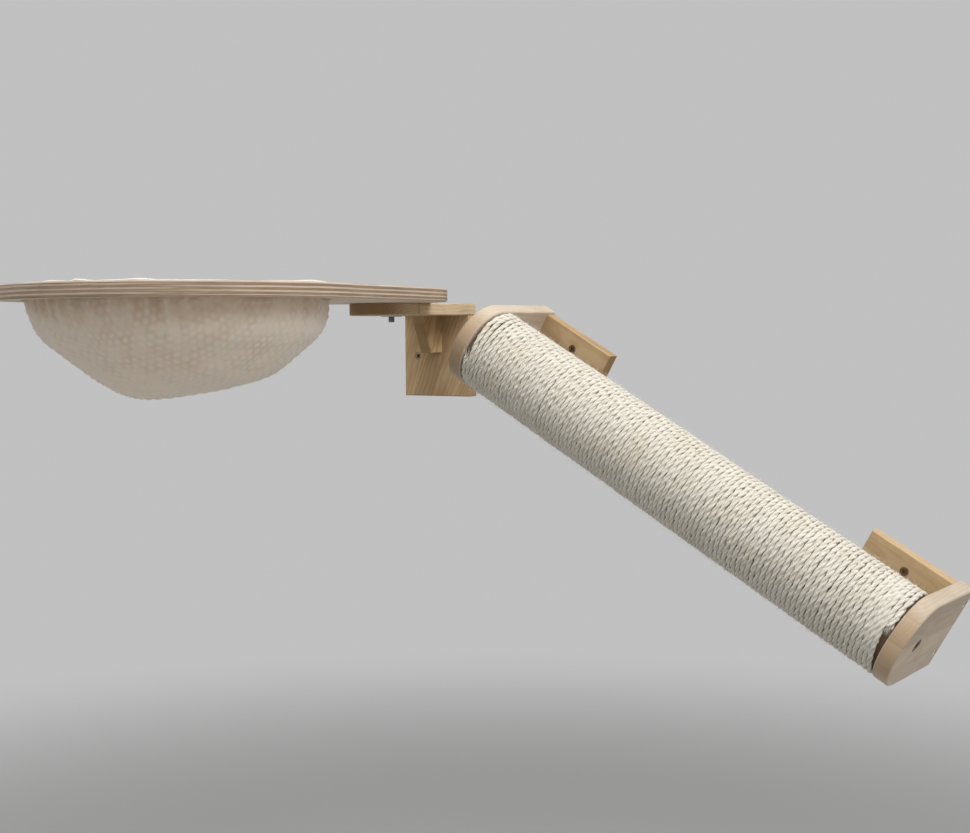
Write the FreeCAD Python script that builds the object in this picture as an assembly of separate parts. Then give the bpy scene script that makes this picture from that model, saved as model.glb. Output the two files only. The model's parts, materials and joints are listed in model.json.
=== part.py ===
import FreeCAD, Part
import math
import os

# Wall mounted cat tree: a plush hammock in a plywood ring on a wall bracket,
# and beside it a sloping sisal scratching post between two wall supports.
# Millimetres. X runs along the wall to the right, Y into the wall, Z up.
# Origin: centre of the bracket's back plate, on the wall face (y = 0).

V = FreeCAD.Vector
ORIGIN = V(0, 0, 0)
X = V(1, 0, 0)
Y = V(0, 1, 0)
Z = V(0, 0, 1)
os.makedirs("parts", exist_ok=True)

# ---------------------------------------------------------------- hammock bracket
PLATE_WIDTH = 104.0         # back plate, along the wall
PLATE_HEIGHT = 104.0
PLATE_THICK = 15.0
TONGUE_LENGTH = 160.0       # from the wall to the round front
TONGUE_THICK = 15.0
GUSSET_THICK = 18.0
GUSSET_HEIGHT = 48.0
GUSSET_TOP_DEPTH = 42.0     # in front of the back plate, under the tongue
GUSSET_FOOT_DEPTH = 22.0    # in front of the back plate, at its lower end
BRACKET_SCREW_SPACING = 60.0

# ---------------------------------------------------------------- hammock board
BOARD_THICK = 15.0
BOARD_HOLE_RADIUS = 158.5
BOARD_RIM_WIDTH = 28.5      # wood between the hole and the round front edge
BOARD_BACK_RADIUS = 138.0
BOARD_BACK_TO_HOLE = 380.0  # from the board's back end to the hole's centre
BOARD_OVERLAP = 75.0        # how far the board lies over the tongue
EDGE_EASE = 1.2             # chamfer on the edges of all boards
TAPE_THICK = 1.2            # hook tape on the board, under the plush hem
TAPE_WIDTH = 14.0
TAPE_INSET = 5.0            # from the hole's edge
TAPE_COUNT = 8
TAPE_ANGLE = 26.0           # degrees of arc of one strip

# ---------------------------------------------------------------- plush bowl
PLUSH_THICK = 4.0
HEM_THICK = 3.0
HEM_WIDTH = 20.0            # of the hem that lies on the board, past the hole
PLUSH_GAP = 0.3             # between the plush and the wood or tape
BOWL_CLEARANCE = 1.0        # between the bowl's neck and the hole
# the bowl's outline: depth below the board's underside, share of the neck's radius
BOWL_OUTLINE = ((30.0, 0.95), (64.0, 0.74), (92.0, 0.41), (103.0, 0.13))

# ---------------------------------------------------------------- scratching post
POST_LENGTH = 582.0         # between the two end plates
POST_TILT = 29.8            # degrees below the horizontal, down to the right
POST_TO_WALL = 109.0        # post axis to the wall face
CORE_RADIUS = 44.0
CORE_WALL = 5.0
ROPE_DIAMETER = 6.0
ROPE_END_GAP = 1.5          # between the rope and each end plate
PLUG_LENGTH = 25.0
END_PLATE_THICK = 18.0
END_PLATE_RADIUS = 50.0
PLANK_THICK = 15.0
PLANK_LENGTH = 103.0        # along the post, from the end plate
PLANK_WIDTH = 94.0
PLANK_SCREW_SPACING = 55.0
SWING_CLEARANCE = 3.8       # the swinging board passes this far above the upper plate
BRACKET_TO_POST = 55.5      # along the wall, back plate to the upper end plate

# ---------------------------------------------------------------- fasteners
WALL_SCREW = {"thread": 5.0, "shank": 3.6, "head": 10.0, "length": 60.0, "plain": 20.0, "tip": 8.0}
FRAME_SCREW = {"thread": 4.0, "shank": 3.0, "head": 8.0, "length": 40.0, "plain": 14.0, "tip": 6.0}
PLANK_SCREW = {"thread": 4.0, "shank": 3.0, "head": 8.0, "length": 50.0, "plain": 17.0, "tip": 6.0}
HEAD_LAND = 0.5             # straight edge of a countersunk head
HEAD_SINK = 0.4             # head below the wood's face
BOLT_RADIUS = 4.0           # M8
RUNNING_CLEARANCE = 0.05    # bolt in the board that turns on it
FIT_CLEARANCE = 0.1         # metal in wood, tube on plug
BOARD_BOLT_LENGTH = 40.0    # under the head
BOARD_BOLT_HEAD_RADIUS = 8.5
BOARD_BOLT_HEAD_HEIGHT = 3.0
BOARD_SOCKET = 5.0          # across flats of the hexagon socket
WASHER_THICK = 1.6
BOARD_WASHER_RADIUS = 12.0
NUT_FLANGE_RADIUS = 13.0
NUT_FLANGE_THICK = 1.5
NUT_BARREL_RADIUS = 5.2
NUT_BARREL_LENGTH = 11.0
NUT_PRONGS = 4
NUT_PRONG_RADIUS = 10.5
NUT_PRONG_SIZE = (1.3, 4.0, 6.0)
END_BOLT_LENGTH = 30.0
END_BOLT_HEAD_RADIUS = 6.5
END_BOLT_HEAD_HEIGHT = 8.0
END_SOCKET = 6.0
END_WASHER_RADIUS = 7.5
COUNTERBORE_RADIUS = 8.0
COUNTERBORE_DEPTH = 10.0
INSERT_RADIUS = 6.0
INSERT_LENGTH = 20.0

# ---------------------------------------------------------------- places worked out
TONGUE_LOW = PLATE_HEIGHT / 2
BOARD_LOW = TONGUE_LOW + TONGUE_THICK
BOARD_TOP = BOARD_LOW + BOARD_THICK
TONGUE_NOSE = TONGUE_LENGTH - PLATE_WIDTH / 2
PIVOT = V(0, -TONGUE_NOSE, BOARD_LOW)
BOARD_BACK = -(TONGUE_LENGTH - BOARD_OVERLAP)
HOLE_CENTRE_Y = BOARD_BACK - BOARD_BACK_TO_HOLE
TILT = math.radians(POST_TILT)
END_CROWN = END_PLATE_RADIUS * math.cos(TILT) + END_PLATE_THICK * math.sin(TILT)
END_REACH = END_PLATE_RADIUS * math.sin(TILT) + END_PLATE_THICK * math.cos(TILT)
POST_TOP = V(PLATE_WIDTH / 2 + BRACKET_TO_POST + END_REACH, -POST_TO_WALL,
             BOARD_LOW - SWING_CLEARANCE - END_CROWN)
POST_FRAME = FreeCAD.Placement(POST_TOP, FreeCAD.Rotation(Y, POST_TILT))


def box(low, high):
    return Part.makeBox(high.x - low.x, high.y - low.y, high.z - low.z, low)


def cylinder(radius, length, base, axis):
    return Part.makeCylinder(radius, length, base, axis)


def ring(outer, inner, length, base, axis):
    return cylinder(outer, length, base, axis).cut(cylinder(inner, length, base, axis))


def turned(profile, base, axis):
    """A solid of revolution: the profile is (radius, distance along the axis)."""
    points = [V(radius, 0, along) for radius, along in profile]
    face = Part.Face(Part.makePolygon(points + [points[0]]))
    solid = face.revolve(ORIGIN, Z, 360)
    solid.Placement = FreeCAD.Placement(base, FreeCAD.Rotation(Z, axis))
    return solid


def prism(points, sweep):
    """A closed polygon swept along a vector."""
    return Part.Face(Part.makePolygon(points + [points[0]])).extrude(sweep)


def eased(solid, chosen, size=EDGE_EASE):
    """Chamfer the edges that the test picks."""
    edges = [edge for edge in solid.Edges if chosen(edge)]
    return solid.makeChamfer(size, edges)


def lies_at(edge, axis, value):
    """True where the whole edge lies at one coordinate of an axis."""
    low = getattr(edge.BoundBox, axis + "Min")
    high = getattr(edge.BoundBox, axis + "Max")
    return abs(low - value) < 1e-4 and abs(high - value) < 1e-4


def hexagon_socket(across, depth, base, axis):
    corner = across / math.sqrt(3)
    points = [V(corner * math.cos(math.radians(60 * i)), corner * math.sin(math.radians(60 * i)), 0)
              for i in range(6)]
    socket = prism(points, V(0, 0, depth))
    socket.Placement = FreeCAD.Placement(base, FreeCAD.Rotation(Z, axis))
    return socket


# ---------------------------------------------------------------- screws and bolts
def screw(size, face_point, inward):
    """A countersunk wood screw with a plain shank, its head just below the face that it enters."""
    shank = size["shank"] / 2
    thread = size["thread"] / 2
    head = size["head"] / 2
    length = size["length"]
    profile = [(0, 0), (head, 0), (head, HEAD_LAND), (shank, HEAD_LAND + head - shank),
               (shank, size["plain"]), (thread, size["plain"]),
               (thread, length - size["tip"]), (0, length)]
    return turned(profile, face_point + inward * HEAD_SINK, inward)


def screw_hole(size, face_point, inward):
    """The countersunk hole that this screw's thread passes through, open at the face."""
    thread = size["thread"] / 2 + FIT_CLEARANCE
    head = size["head"] / 2 + FIT_CLEARANCE
    land_end = HEAD_SINK + HEAD_LAND + FIT_CLEARANCE
    length = HEAD_SINK + size["length"] + FIT_CLEARANCE
    profile = [(0, -1), (head, -1), (head, land_end), (thread, land_end + head - thread),
               (thread, length - size["tip"]), (0, length)]
    return turned(profile, face_point, inward)


def screws(size, places):
    return Part.makeCompound([screw(size, point, inward) for point, inward in places])


def drilled(solid, size, places):
    for point, inward in places:
        solid = solid.cut(screw_hole(size, point, inward))
    return solid


def washer(outer, base, axis):
    return ring(outer, BOLT_RADIUS + FIT_CLEARANCE, WASHER_THICK, base, axis)


# ---------------------------------------------------------------- bracket
def bracket_wall_places():
    half = BRACKET_SCREW_SPACING / 2
    return [(V(side * half, -PLATE_THICK, 0), Y) for side in (-1, 1)]


def frame_screw_places():
    """Two down into the back plate, one down into the gusset, one from behind into it."""
    middle = PLATE_THICK / 2
    down = [(V(side * PLATE_WIDTH / 3, -middle, BOARD_LOW), -Z) for side in (-1, 1)]
    into_gusset = (V(0, -PLATE_THICK - GUSSET_TOP_DEPTH / 2, BOARD_LOW), -Z)
    from_behind = (V(0, 0, TONGUE_LOW - 0.75 * GUSSET_HEIGHT), -Y)
    return down + [into_gusset, from_behind]


def back_plate():
    half = PLATE_WIDTH / 2
    plate = box(V(-half, -PLATE_THICK, -PLATE_HEIGHT / 2), V(half, 0, TONGUE_LOW))
    plate = eased(plate, lambda e: lies_at(e, "Y", -PLATE_THICK) and not lies_at(e, "Z", TONGUE_LOW))
    plate = drilled(plate, WALL_SCREW, bracket_wall_places())
    return drilled(plate, FRAME_SCREW, frame_screw_places())


def tongue():
    half = PLATE_WIDTH / 2
    strip = box(V(-half, -TONGUE_NOSE, TONGUE_LOW), V(half, 0, BOARD_LOW))
    nose = cylinder(half, TONGUE_THICK, V(0, -TONGUE_NOSE, TONGUE_LOW), Z)
    body = strip.fuse(nose).removeSplitter()
    body = eased(body, lambda e: (lies_at(e, "Z", TONGUE_LOW) or lies_at(e, "Z", BOARD_LOW))
                 and not lies_at(e, "Y", 0))
    body = drilled(body, FRAME_SCREW, frame_screw_places())
    body = body.cut(cylinder(BOLT_RADIUS + FIT_CLEARANCE, TONGUE_THICK, V(0, -TONGUE_NOSE, TONGUE_LOW), Z))
    barrel = cylinder(NUT_BARREL_RADIUS + FIT_CLEARANCE, NUT_BARREL_LENGTH + FIT_CLEARANCE,
                      V(0, -TONGUE_NOSE, TONGUE_LOW), Z)
    return body.cut(barrel).cut(nut_prongs(FIT_CLEARANCE))


def gusset():
    half = GUSSET_THICK / 2
    front = -PLATE_THICK
    low = TONGUE_LOW - GUSSET_HEIGHT
    points = [V(-half, front, low), V(-half, front, TONGUE_LOW),
              V(-half, front - GUSSET_TOP_DEPTH, TONGUE_LOW), V(-half, front - GUSSET_FOOT_DEPTH, low)]
    block = prism(points, V(GUSSET_THICK, 0, 0))
    block = eased(block, lambda e: e.BoundBox.XLength < 0.01 and not lies_at(e, "Y", front)
                  and not lies_at(e, "Z", TONGUE_LOW))
    return drilled(block, FRAME_SCREW, frame_screw_places())


def nut_prongs(grow):
    """The prongs of the tee nut, bent up into the tongue; grown, they are its slots."""
    thick, wide, high = NUT_PRONG_SIZE
    prong = box(V(NUT_PRONG_RADIUS - grow, -wide / 2 - grow, 0),
                V(NUT_PRONG_RADIUS + thick + grow, wide / 2 + grow, high + grow))
    prongs = []
    for i in range(NUT_PRONGS):
        copy = prong.copy()
        copy.rotate(ORIGIN, Z, 360 / NUT_PRONGS * (i + 0.5))
        copy.translate(V(0, -TONGUE_NOSE, TONGUE_LOW))
        prongs.append(copy)
    return Part.makeCompound(prongs)


def tee_nut():
    base = V(0, -TONGUE_NOSE, TONGUE_LOW - NUT_FLANGE_THICK)
    flange = cylinder(NUT_FLANGE_RADIUS, NUT_FLANGE_THICK, base, Z)
    barrel = cylinder(NUT_BARREL_RADIUS, NUT_FLANGE_THICK + NUT_BARREL_LENGTH, base, Z)
    nut = flange.fuse([barrel] + nut_prongs(0).Solids).removeSplitter()
    bore = cylinder(BOLT_RADIUS + FIT_CLEARANCE, NUT_FLANGE_THICK + NUT_BARREL_LENGTH, base, Z)
    return nut.cut(bore)


def board_bolt():
    seat = BOARD_TOP + WASHER_THICK
    crown = BOARD_BOLT_HEAD_RADIUS - BOARD_BOLT_HEAD_HEIGHT / 2
    profile = [(0, 0), (BOLT_RADIUS - 0.8, 0), (BOLT_RADIUS, 0.8), (BOLT_RADIUS, BOARD_BOLT_LENGTH),
               (BOARD_BOLT_HEAD_RADIUS, BOARD_BOLT_LENGTH),
               (BOARD_BOLT_HEAD_RADIUS, BOARD_BOLT_LENGTH + BOARD_BOLT_HEAD_HEIGHT / 2),
               (crown, BOARD_BOLT_LENGTH + BOARD_BOLT_HEAD_HEIGHT),
               (0, BOARD_BOLT_LENGTH + BOARD_BOLT_HEAD_HEIGHT)]
    bolt = turned(profile, V(0, -TONGUE_NOSE, seat - BOARD_BOLT_LENGTH), Z)
    top = V(0, -TONGUE_NOSE, seat + BOARD_BOLT_HEAD_HEIGHT)
    return bolt.cut(hexagon_socket(BOARD_SOCKET, BOARD_BOLT_HEAD_HEIGHT * 0.8, top, -Z))


# ---------------------------------------------------------------- hammock
def board_outline(shrink=0.0):
    """An egg: a round front about the hole and a smaller round back, joined by tangents."""
    front = BOARD_HOLE_RADIUS + BOARD_RIM_WIDTH - shrink
    back = BOARD_BACK_RADIUS - shrink
    front_y = HOLE_CENTRE_Y
    back_y = BOARD_BACK - BOARD_BACK_RADIUS
    lean = math.asin((front - back) / (back_y - front_y))
    side = V(math.cos(lean), math.sin(lean), 0)
    mirror = V(-side.x, side.y, 0)
    front_centre = V(0, front_y, BOARD_LOW)
    back_centre = V(0, back_y, BOARD_LOW)
    front_arc = Part.Arc(front_centre + side * front, front_centre - Y * front, front_centre + mirror * front)
    back_arc = Part.Arc(back_centre + mirror * back, back_centre + Y * back, back_centre + side * back)
    left = Part.LineSegment(front_centre + mirror * front, back_centre + mirror * back)
    right = Part.LineSegment(back_centre + side * back, front_centre + side * front)
    return Part.Wire([front_arc.toShape(), left.toShape(), back_arc.toShape(), right.toShape()])


def hammock_board():
    centre = V(0, HOLE_CENTRE_Y, BOARD_LOW)
    board = Part.Face(board_outline()).extrude(V(0, 0, BOARD_THICK))
    board = board.cut(cylinder(BOARD_HOLE_RADIUS, BOARD_THICK, centre, Z))
    board = eased(board, lambda e: lies_at(e, "Z", BOARD_LOW) or lies_at(e, "Z", BOARD_TOP))
    return board.cut(cylinder(BOLT_RADIUS + RUNNING_CLEARANCE, BOARD_THICK, PIVOT, Z))


def hook_tape():
    """Short strips of hook tape round the hole, stuck to the top of the board."""
    inner = BOARD_HOLE_RADIUS + TAPE_INSET
    strips = []
    for i in range(TAPE_COUNT):
        hoop = Part.makeCylinder(inner + TAPE_WIDTH, TAPE_THICK, ORIGIN, Z, TAPE_ANGLE)
        hoop = hoop.cut(cylinder(inner, TAPE_THICK, ORIGIN, Z))
        hoop.rotate(ORIGIN, Z, 360 / TAPE_COUNT * i - TAPE_ANGLE / 2)
        hoop.translate(V(0, HOLE_CENTRE_Y, BOARD_TOP))
        strips.append(hoop)
    return Part.makeCompound(strips)


def plush_bowl():
    """The plush bag: a neck through the hole, a sagging bowl below and a hem that lies on the board."""
    neck = BOARD_HOLE_RADIUS - BOWL_CLEARANCE
    hem_low = BOARD_THICK + TAPE_THICK + PLUSH_GAP
    hem_top = hem_low + HEM_THICK
    hem_edge = BOARD_HOLE_RADIUS + HEM_WIDTH
    outside = [(neck, 0)] + [(neck * share, -depth) for depth, share in BOWL_OUTLINE]
    outside.append((0, -BOWL_OUTLINE[-1][0]))
    shrink = 1 - PLUSH_THICK / BOWL_OUTLINE[-1][0]
    inside = [(max(radius - PLUSH_THICK, 0), height * shrink) for radius, height in outside]
    rim = [(inside[0][0], hem_top), (hem_edge, hem_top), (hem_edge, hem_low), (neck, hem_low)]
    return turned(inside[::-1] + rim + outside, V(0, HOLE_CENTRE_Y, BOARD_LOW), Z)


# ---------------------------------------------------------------- scratching post
def placed(shape):
    """From the post's own frame (X down the post, Z across it, origin at the upper plate) to the wall."""
    moved = shape.copy()
    moved.Placement = POST_FRAME.multiply(moved.Placement)
    return moved


class Support:
    """One end of the post: its end plate, wall plank, screws, bolt and plug."""

    def __init__(self, name, inner_face, outward):
        self.name = name
        self.face = inner_face
        self.out = outward
        self.axis = X * outward

    def at(self, outside, y, z):
        """A point that lies this far outside the inner face of the end plate."""
        return V(self.face + self.out * outside, y, z)

    def slab(self, outside_a, outside_b, low_y, high_y, half_width):
        ends = sorted((self.face + self.out * outside_a, self.face + self.out * outside_b))
        return box(V(ends[0], low_y, -half_width), V(ends[1], high_y, half_width))

    def wall_places(self):
        half = PLANK_SCREW_SPACING / 2
        front = POST_TO_WALL - PLANK_THICK
        return [(self.at(-PLANK_LENGTH / 2, front, side * half), Y) for side in (-1, 1)]

    def joint_places(self):
        height = POST_TO_WALL - PLANK_THICK / 2
        return [(self.at(END_PLATE_THICK, height, side * PLANK_WIDTH / 3), self.axis * -1)
                for side in (-1, 1)]

    def end_plate(self):
        flat = self.slab(0, END_PLATE_THICK, 0, POST_TO_WALL, END_PLATE_RADIUS)
        nose = cylinder(END_PLATE_RADIUS, END_PLATE_THICK, self.at(0, 0, 0), self.axis)
        plate = flat.fuse(nose).removeSplitter()
        plate = eased(plate, lambda e: (lies_at(e, "X", self.face) or lies_at(e, "X", self.at(END_PLATE_THICK, 0, 0).x))
                      and not lies_at(e, "Y", POST_TO_WALL))
        plate = plate.cut(cylinder(BOLT_RADIUS + FIT_CLEARANCE, END_PLATE_THICK, self.at(0, 0, 0), self.axis))
        mouth = self.at(END_PLATE_THICK - COUNTERBORE_DEPTH, 0, 0)
        plate = plate.cut(cylinder(COUNTERBORE_RADIUS, COUNTERBORE_DEPTH, mouth, self.axis))
        return drilled(plate, PLANK_SCREW, self.joint_places())

    def wall_plank(self):
        low_y = POST_TO_WALL - PLANK_THICK
        plank = self.slab(-PLANK_LENGTH, 0, low_y, POST_TO_WALL, PLANK_WIDTH / 2)
        plank = eased(plank, lambda e: lies_at(e, "Y", low_y) and not lies_at(e, "X", self.face))
        plank = drilled(plank, WALL_SCREW, self.wall_places())
        return drilled(plank, PLANK_SCREW, self.joint_places())

    def core_plug(self):
        plug = cylinder(CORE_RADIUS - CORE_WALL - FIT_CLEARANCE, PLUG_LENGTH, self.at(0, 0, 0), self.axis * -1)
        pocket = cylinder(INSERT_RADIUS + FIT_CLEARANCE, INSERT_LENGTH, self.at(0, 0, 0), self.axis * -1)
        bolt_way = cylinder(BOLT_RADIUS + FIT_CLEARANCE, PLUG_LENGTH, self.at(0, 0, 0), self.axis * -1)
        return plug.cut(pocket).cut(bolt_way)

    def insert(self):
        return ring(INSERT_RADIUS, BOLT_RADIUS + FIT_CLEARANCE, INSERT_LENGTH, self.at(0, 0, 0), self.axis * -1)

    def bolt_washer(self):
        return washer(END_WASHER_RADIUS, self.at(END_PLATE_THICK - COUNTERBORE_DEPTH, 0, 0), self.axis)

    def end_bolt(self):
        seat = END_PLATE_THICK - COUNTERBORE_DEPTH + WASHER_THICK
        head = END_BOLT_HEAD_RADIUS
        top = END_BOLT_LENGTH + END_BOLT_HEAD_HEIGHT
        profile = [(0, 0), (BOLT_RADIUS - 0.8, 0), (BOLT_RADIUS, 0.8), (BOLT_RADIUS, END_BOLT_LENGTH),
                   (head, END_BOLT_LENGTH), (head, top - 0.6), (head - 0.6, top), (0, top)]
        bolt = turned(profile, self.at(seat - END_BOLT_LENGTH, 0, 0), self.axis)
        outer = self.at(seat + END_BOLT_HEAD_HEIGHT, 0, 0)
        return bolt.cut(hexagon_socket(END_SOCKET, END_BOLT_HEAD_HEIGHT / 2, outer, self.axis * -1))

    def pieces(self):
        return {
            self.name + "_end_plate": self.end_plate(),
            self.name + "_wall_plank": self.wall_plank(),
            self.name + "_joint_screws": screws(PLANK_SCREW, self.joint_places()),
            self.name + "_wall_screws": screws(WALL_SCREW, self.wall_places()),
            self.name + "_core_plug": self.core_plug(),
            self.name + "_plug_insert": self.insert(),
            self.name + "_end_bolt": self.end_bolt(),
            self.name + "_bolt_washer": self.bolt_washer(),
        }


def core_tube():
    return ring(CORE_RADIUS, CORE_RADIUS - CORE_WALL, POST_LENGTH, ORIGIN, X)


def rope_wrap():
    """The rope's turns as one close sleeve, rounded at both ends like its last turns."""
    length = POST_LENGTH - 2 * ROPE_END_GAP
    outer = CORE_RADIUS + ROPE_DIAMETER
    sleeve = ring(outer, CORE_RADIUS + FIT_CLEARANCE, length, V(ROPE_END_GAP, 0, 0), X)
    round_end = ROPE_DIAMETER / 2 - 2 * FIT_CLEARANCE
    return eased(sleeve, lambda e: abs(e.BoundBox.ZLength - 2 * outer) < 0.01 and e.BoundBox.XLength < 0.01,
                 round_end)


def bracket_pieces():
    return {
        "bracket_back_plate": back_plate(),
        "bracket_tongue": tongue(),
        "bracket_gusset": gusset(),
        "bracket_joint_screws": screws(FRAME_SCREW, frame_screw_places()),
        "bracket_wall_screws": screws(WALL_SCREW, bracket_wall_places()),
        "tongue_tee_nut": tee_nut(),
        "board_bolt": board_bolt(),
        "board_bolt_washer": washer(BOARD_WASHER_RADIUS, V(0, -TONGUE_NOSE, BOARD_TOP), Z),
        "hammock_board": hammock_board(),
        "hem_hook_tape": hook_tape(),
        "plush_bowl": plush_bowl(),
    }


def post_pieces():
    pieces = {"post_core_tube": core_tube(), "sisal_rope_wrap": rope_wrap()}
    for support in (Support("upper", 0.0, -1), Support("lower", POST_LENGTH, 1)):
        pieces.update(support.pieces())
    return {name: placed(shape) for name, shape in pieces.items()}


for node, shape in {**bracket_pieces(), **post_pieces()}.items():
    shape.exportStep("parts/" + node + ".step")
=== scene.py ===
"""Finish of a wall mounted cat tree: a plush bowl in a plywood ring, and a sloping sisal post.

Metres, in the frame of the packed model: X along the wall to the right, Y into the wall, Z up.
"""
import json
import math
from collections import namedtuple

import bpy
import numpy as np
from mathutils import Matrix, Vector

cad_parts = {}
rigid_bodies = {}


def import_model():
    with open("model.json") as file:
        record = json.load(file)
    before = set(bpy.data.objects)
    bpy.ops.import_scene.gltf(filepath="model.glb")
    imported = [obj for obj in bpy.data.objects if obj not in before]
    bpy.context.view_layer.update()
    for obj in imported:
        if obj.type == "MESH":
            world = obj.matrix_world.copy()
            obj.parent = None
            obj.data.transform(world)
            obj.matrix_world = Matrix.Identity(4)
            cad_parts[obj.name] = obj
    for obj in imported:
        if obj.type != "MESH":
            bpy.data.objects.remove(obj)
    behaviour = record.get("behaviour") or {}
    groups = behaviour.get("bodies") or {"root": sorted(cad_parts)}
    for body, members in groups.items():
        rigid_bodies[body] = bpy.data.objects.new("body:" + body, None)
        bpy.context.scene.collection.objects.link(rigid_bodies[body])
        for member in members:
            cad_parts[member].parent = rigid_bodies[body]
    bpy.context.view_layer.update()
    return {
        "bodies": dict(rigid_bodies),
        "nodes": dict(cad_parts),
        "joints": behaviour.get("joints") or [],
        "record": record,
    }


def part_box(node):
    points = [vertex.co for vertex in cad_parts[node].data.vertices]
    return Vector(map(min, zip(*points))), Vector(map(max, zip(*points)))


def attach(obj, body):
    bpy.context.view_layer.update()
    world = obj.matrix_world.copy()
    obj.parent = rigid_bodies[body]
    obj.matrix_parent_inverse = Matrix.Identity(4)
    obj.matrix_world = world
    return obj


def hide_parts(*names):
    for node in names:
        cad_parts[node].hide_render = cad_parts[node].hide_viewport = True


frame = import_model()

bl_info = {
    "name": "Wall Mounted Cat Tree",
    "version": (1, 0, 0),
    "blender": (4, 5, 0),
    "location": "View3D > Sidebar > Cat Tree",
    "description": "Gives a wall mounted cat tree its timber, plywood, plush, sisal and metal finish",
    "category": "Object",
}

NODES = frame["nodes"]
MM = 0.001
TURN = 2 * math.pi

# ---------------------------------------------------------------- places read from the frame
BOARD_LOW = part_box("hammock_board")[0].z
BOARD_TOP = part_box("hammock_board")[1].z
BOARD_THICK = BOARD_TOP - BOARD_LOW
TONGUE_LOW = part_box("bracket_tongue")[0].z
TAPE_LOW, TAPE_TOP = (corner.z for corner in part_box("hem_hook_tape"))
BOWL_LOW, BOWL_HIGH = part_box("plush_bowl")
HOLE_CENTRE = (BOWL_LOW + BOWL_HIGH) / 2
HEM_RADIUS = (BOWL_HIGH.x - BOWL_LOW.x) / 2
BOLT_LOW, BOLT_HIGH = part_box("board_bolt")
TUBE_LOW, TUBE_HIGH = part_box("post_core_tube")
TUBE_RADIUS = (TUBE_HIGH.y - TUBE_LOW.y) / 2
POST_MIDDLE = (TUBE_LOW + TUBE_HIGH) / 2
ROPE_LOW, ROPE_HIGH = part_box("sisal_rope_wrap")
POST_RADIUS = (ROPE_HIGH.y - ROPE_LOW.y) / 2
POST_TILT = math.radians(29.8)
POST_ALONG = Vector((math.cos(POST_TILT), 0, -math.sin(POST_TILT)))
POST_ACROSS = Vector((math.sin(POST_TILT), 0, math.cos(POST_TILT)))
POST_FRONT = Vector((0, -1, 0))
POST_LENGTH = (TUBE_HIGH.x - TUBE_LOW.x - 2 * TUBE_RADIUS * math.sin(POST_TILT)) / math.cos(POST_TILT)
ROPE_SPAN = POST_LENGTH - 3 * MM
END_PLATE_THICK = 18 * MM

# ---------------------------------------------------------------- colours that vary a finish
PLY_STREAK_AND_SHADE = (0.17, 0.10, 0.055)
PLY_TINT = (0.66, 0.53, 0.40)
PLY_GLUE = (0.13, 0.075, 0.04)
PLY_GAP = (0.05, 0.03, 0.02)
VENEER_LINE = (0.55, 0.40, 0.25)
VENEER_PALE = (0.78, 0.65, 0.49)
VENEER_PORE = (0.42, 0.29, 0.18)
FIBRE_TAN = (0.72, 0.62, 0.47)
FIBRE_BLEACHED = (0.94, 0.92, 0.86)
FIBRE_CLOUD = (0.74, 0.655, 0.50)
# painted shadow: the paper tube's colours are this dark to stand in for the shade in the gaps by the end
# plates
PAPER_SHADOW_DARK = (0.13, 0.085, 0.05)
PAPER_SHADOW_PALE = (0.21, 0.145, 0.09)
PAPER_FLECK = (0.08, 0.05, 0.03)
PAPER_SEAM = (0.07, 0.045, 0.025)
NYLON_SHADE = (0.74, 0.73, 0.69)
NYLON_PALE = (0.86, 0.85, 0.81)
NYLON_DUST = (0.62, 0.60, 0.55)
SHEEN_CREAM = (0.95, 0.90, 0.84, 1)
FLOOR_SPECK = (0.37, 0.37, 0.365)


# ---------------------------------------------------------------- sizes and colours to change
def length_property(name, text, default):
    return bpy.props.FloatProperty(name=name, description=text, default=default, unit="LENGTH",
                                   precision=5)


def colour_property(name, text, default):
    return bpy.props.FloatVectorProperty(name=name, description=text, default=default, size=3,
                                         subtype="COLOR", min=0, max=1)


def share_property(name, text, default):
    return bpy.props.FloatProperty(name=name, description=text, default=default, min=0, max=1,
                                   subtype="FACTOR")


def angle_property(name, text, degrees):
    return bpy.props.FloatProperty(name=name, description=text, default=math.radians(degrees),
                                   subtype="ANGLE")


def count_property(name, text, default, least=0):
    return bpy.props.IntProperty(name=name, description=text, default=default, min=least)


def power_property(name, text, default):
    return bpy.props.FloatProperty(name=name, description=text, default=default, unit="POWER")


class TimberLook(bpy.types.PropertyGroup):
    """Edge-glued pine of the bracket, end plates and wall planks."""
    frame_pale: colour_property("Bracket wood", "Early wood of bracket and wall planks", (0.59, 0.43, 0.25))
    frame_dark: colour_property("Bracket rings", "Late wood of bracket and wall planks", (0.32, 0.18, 0.08))
    tongue_pale: colour_property("Tongue wood", "Early wood of the tongue", (0.70, 0.56, 0.37))
    # the tongue's late wood colour is made very dark, partly as painted shade on its nose under the board
    tongue_rings_and_shade: colour_property("Tongue rings", "Late wood of the tongue", (0.22, 0.098, 0.034))
    plate_pale: colour_property("End plate wood", "Early wood of the end plates", (0.665, 0.565, 0.45))
    plate_dark: colour_property("End plate rings", "Late wood of the end plates", (0.41, 0.275, 0.155))
    strip: length_property("Strip width", "Width of one glued strip", 27 * MM)
    ring_gap: length_property("Ring gap", "Distance between growth rings", 3.6 * MM)


class PlywoodLook(bpy.types.PropertyGroup):
    """Birch plywood of the hammock's ring."""
    face: colour_property("Face veneer", "Outer veneer", (0.68, 0.55, 0.41))
    long_grain: colour_property("Pale plies", "Plies cut along their grain", (0.62, 0.50, 0.385))
    end_grain: colour_property("Dark plies", "Plies cut across their grain", (0.19, 0.115, 0.062))
    plies: count_property("Plies", "Number of plies", 7, 3)


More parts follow.
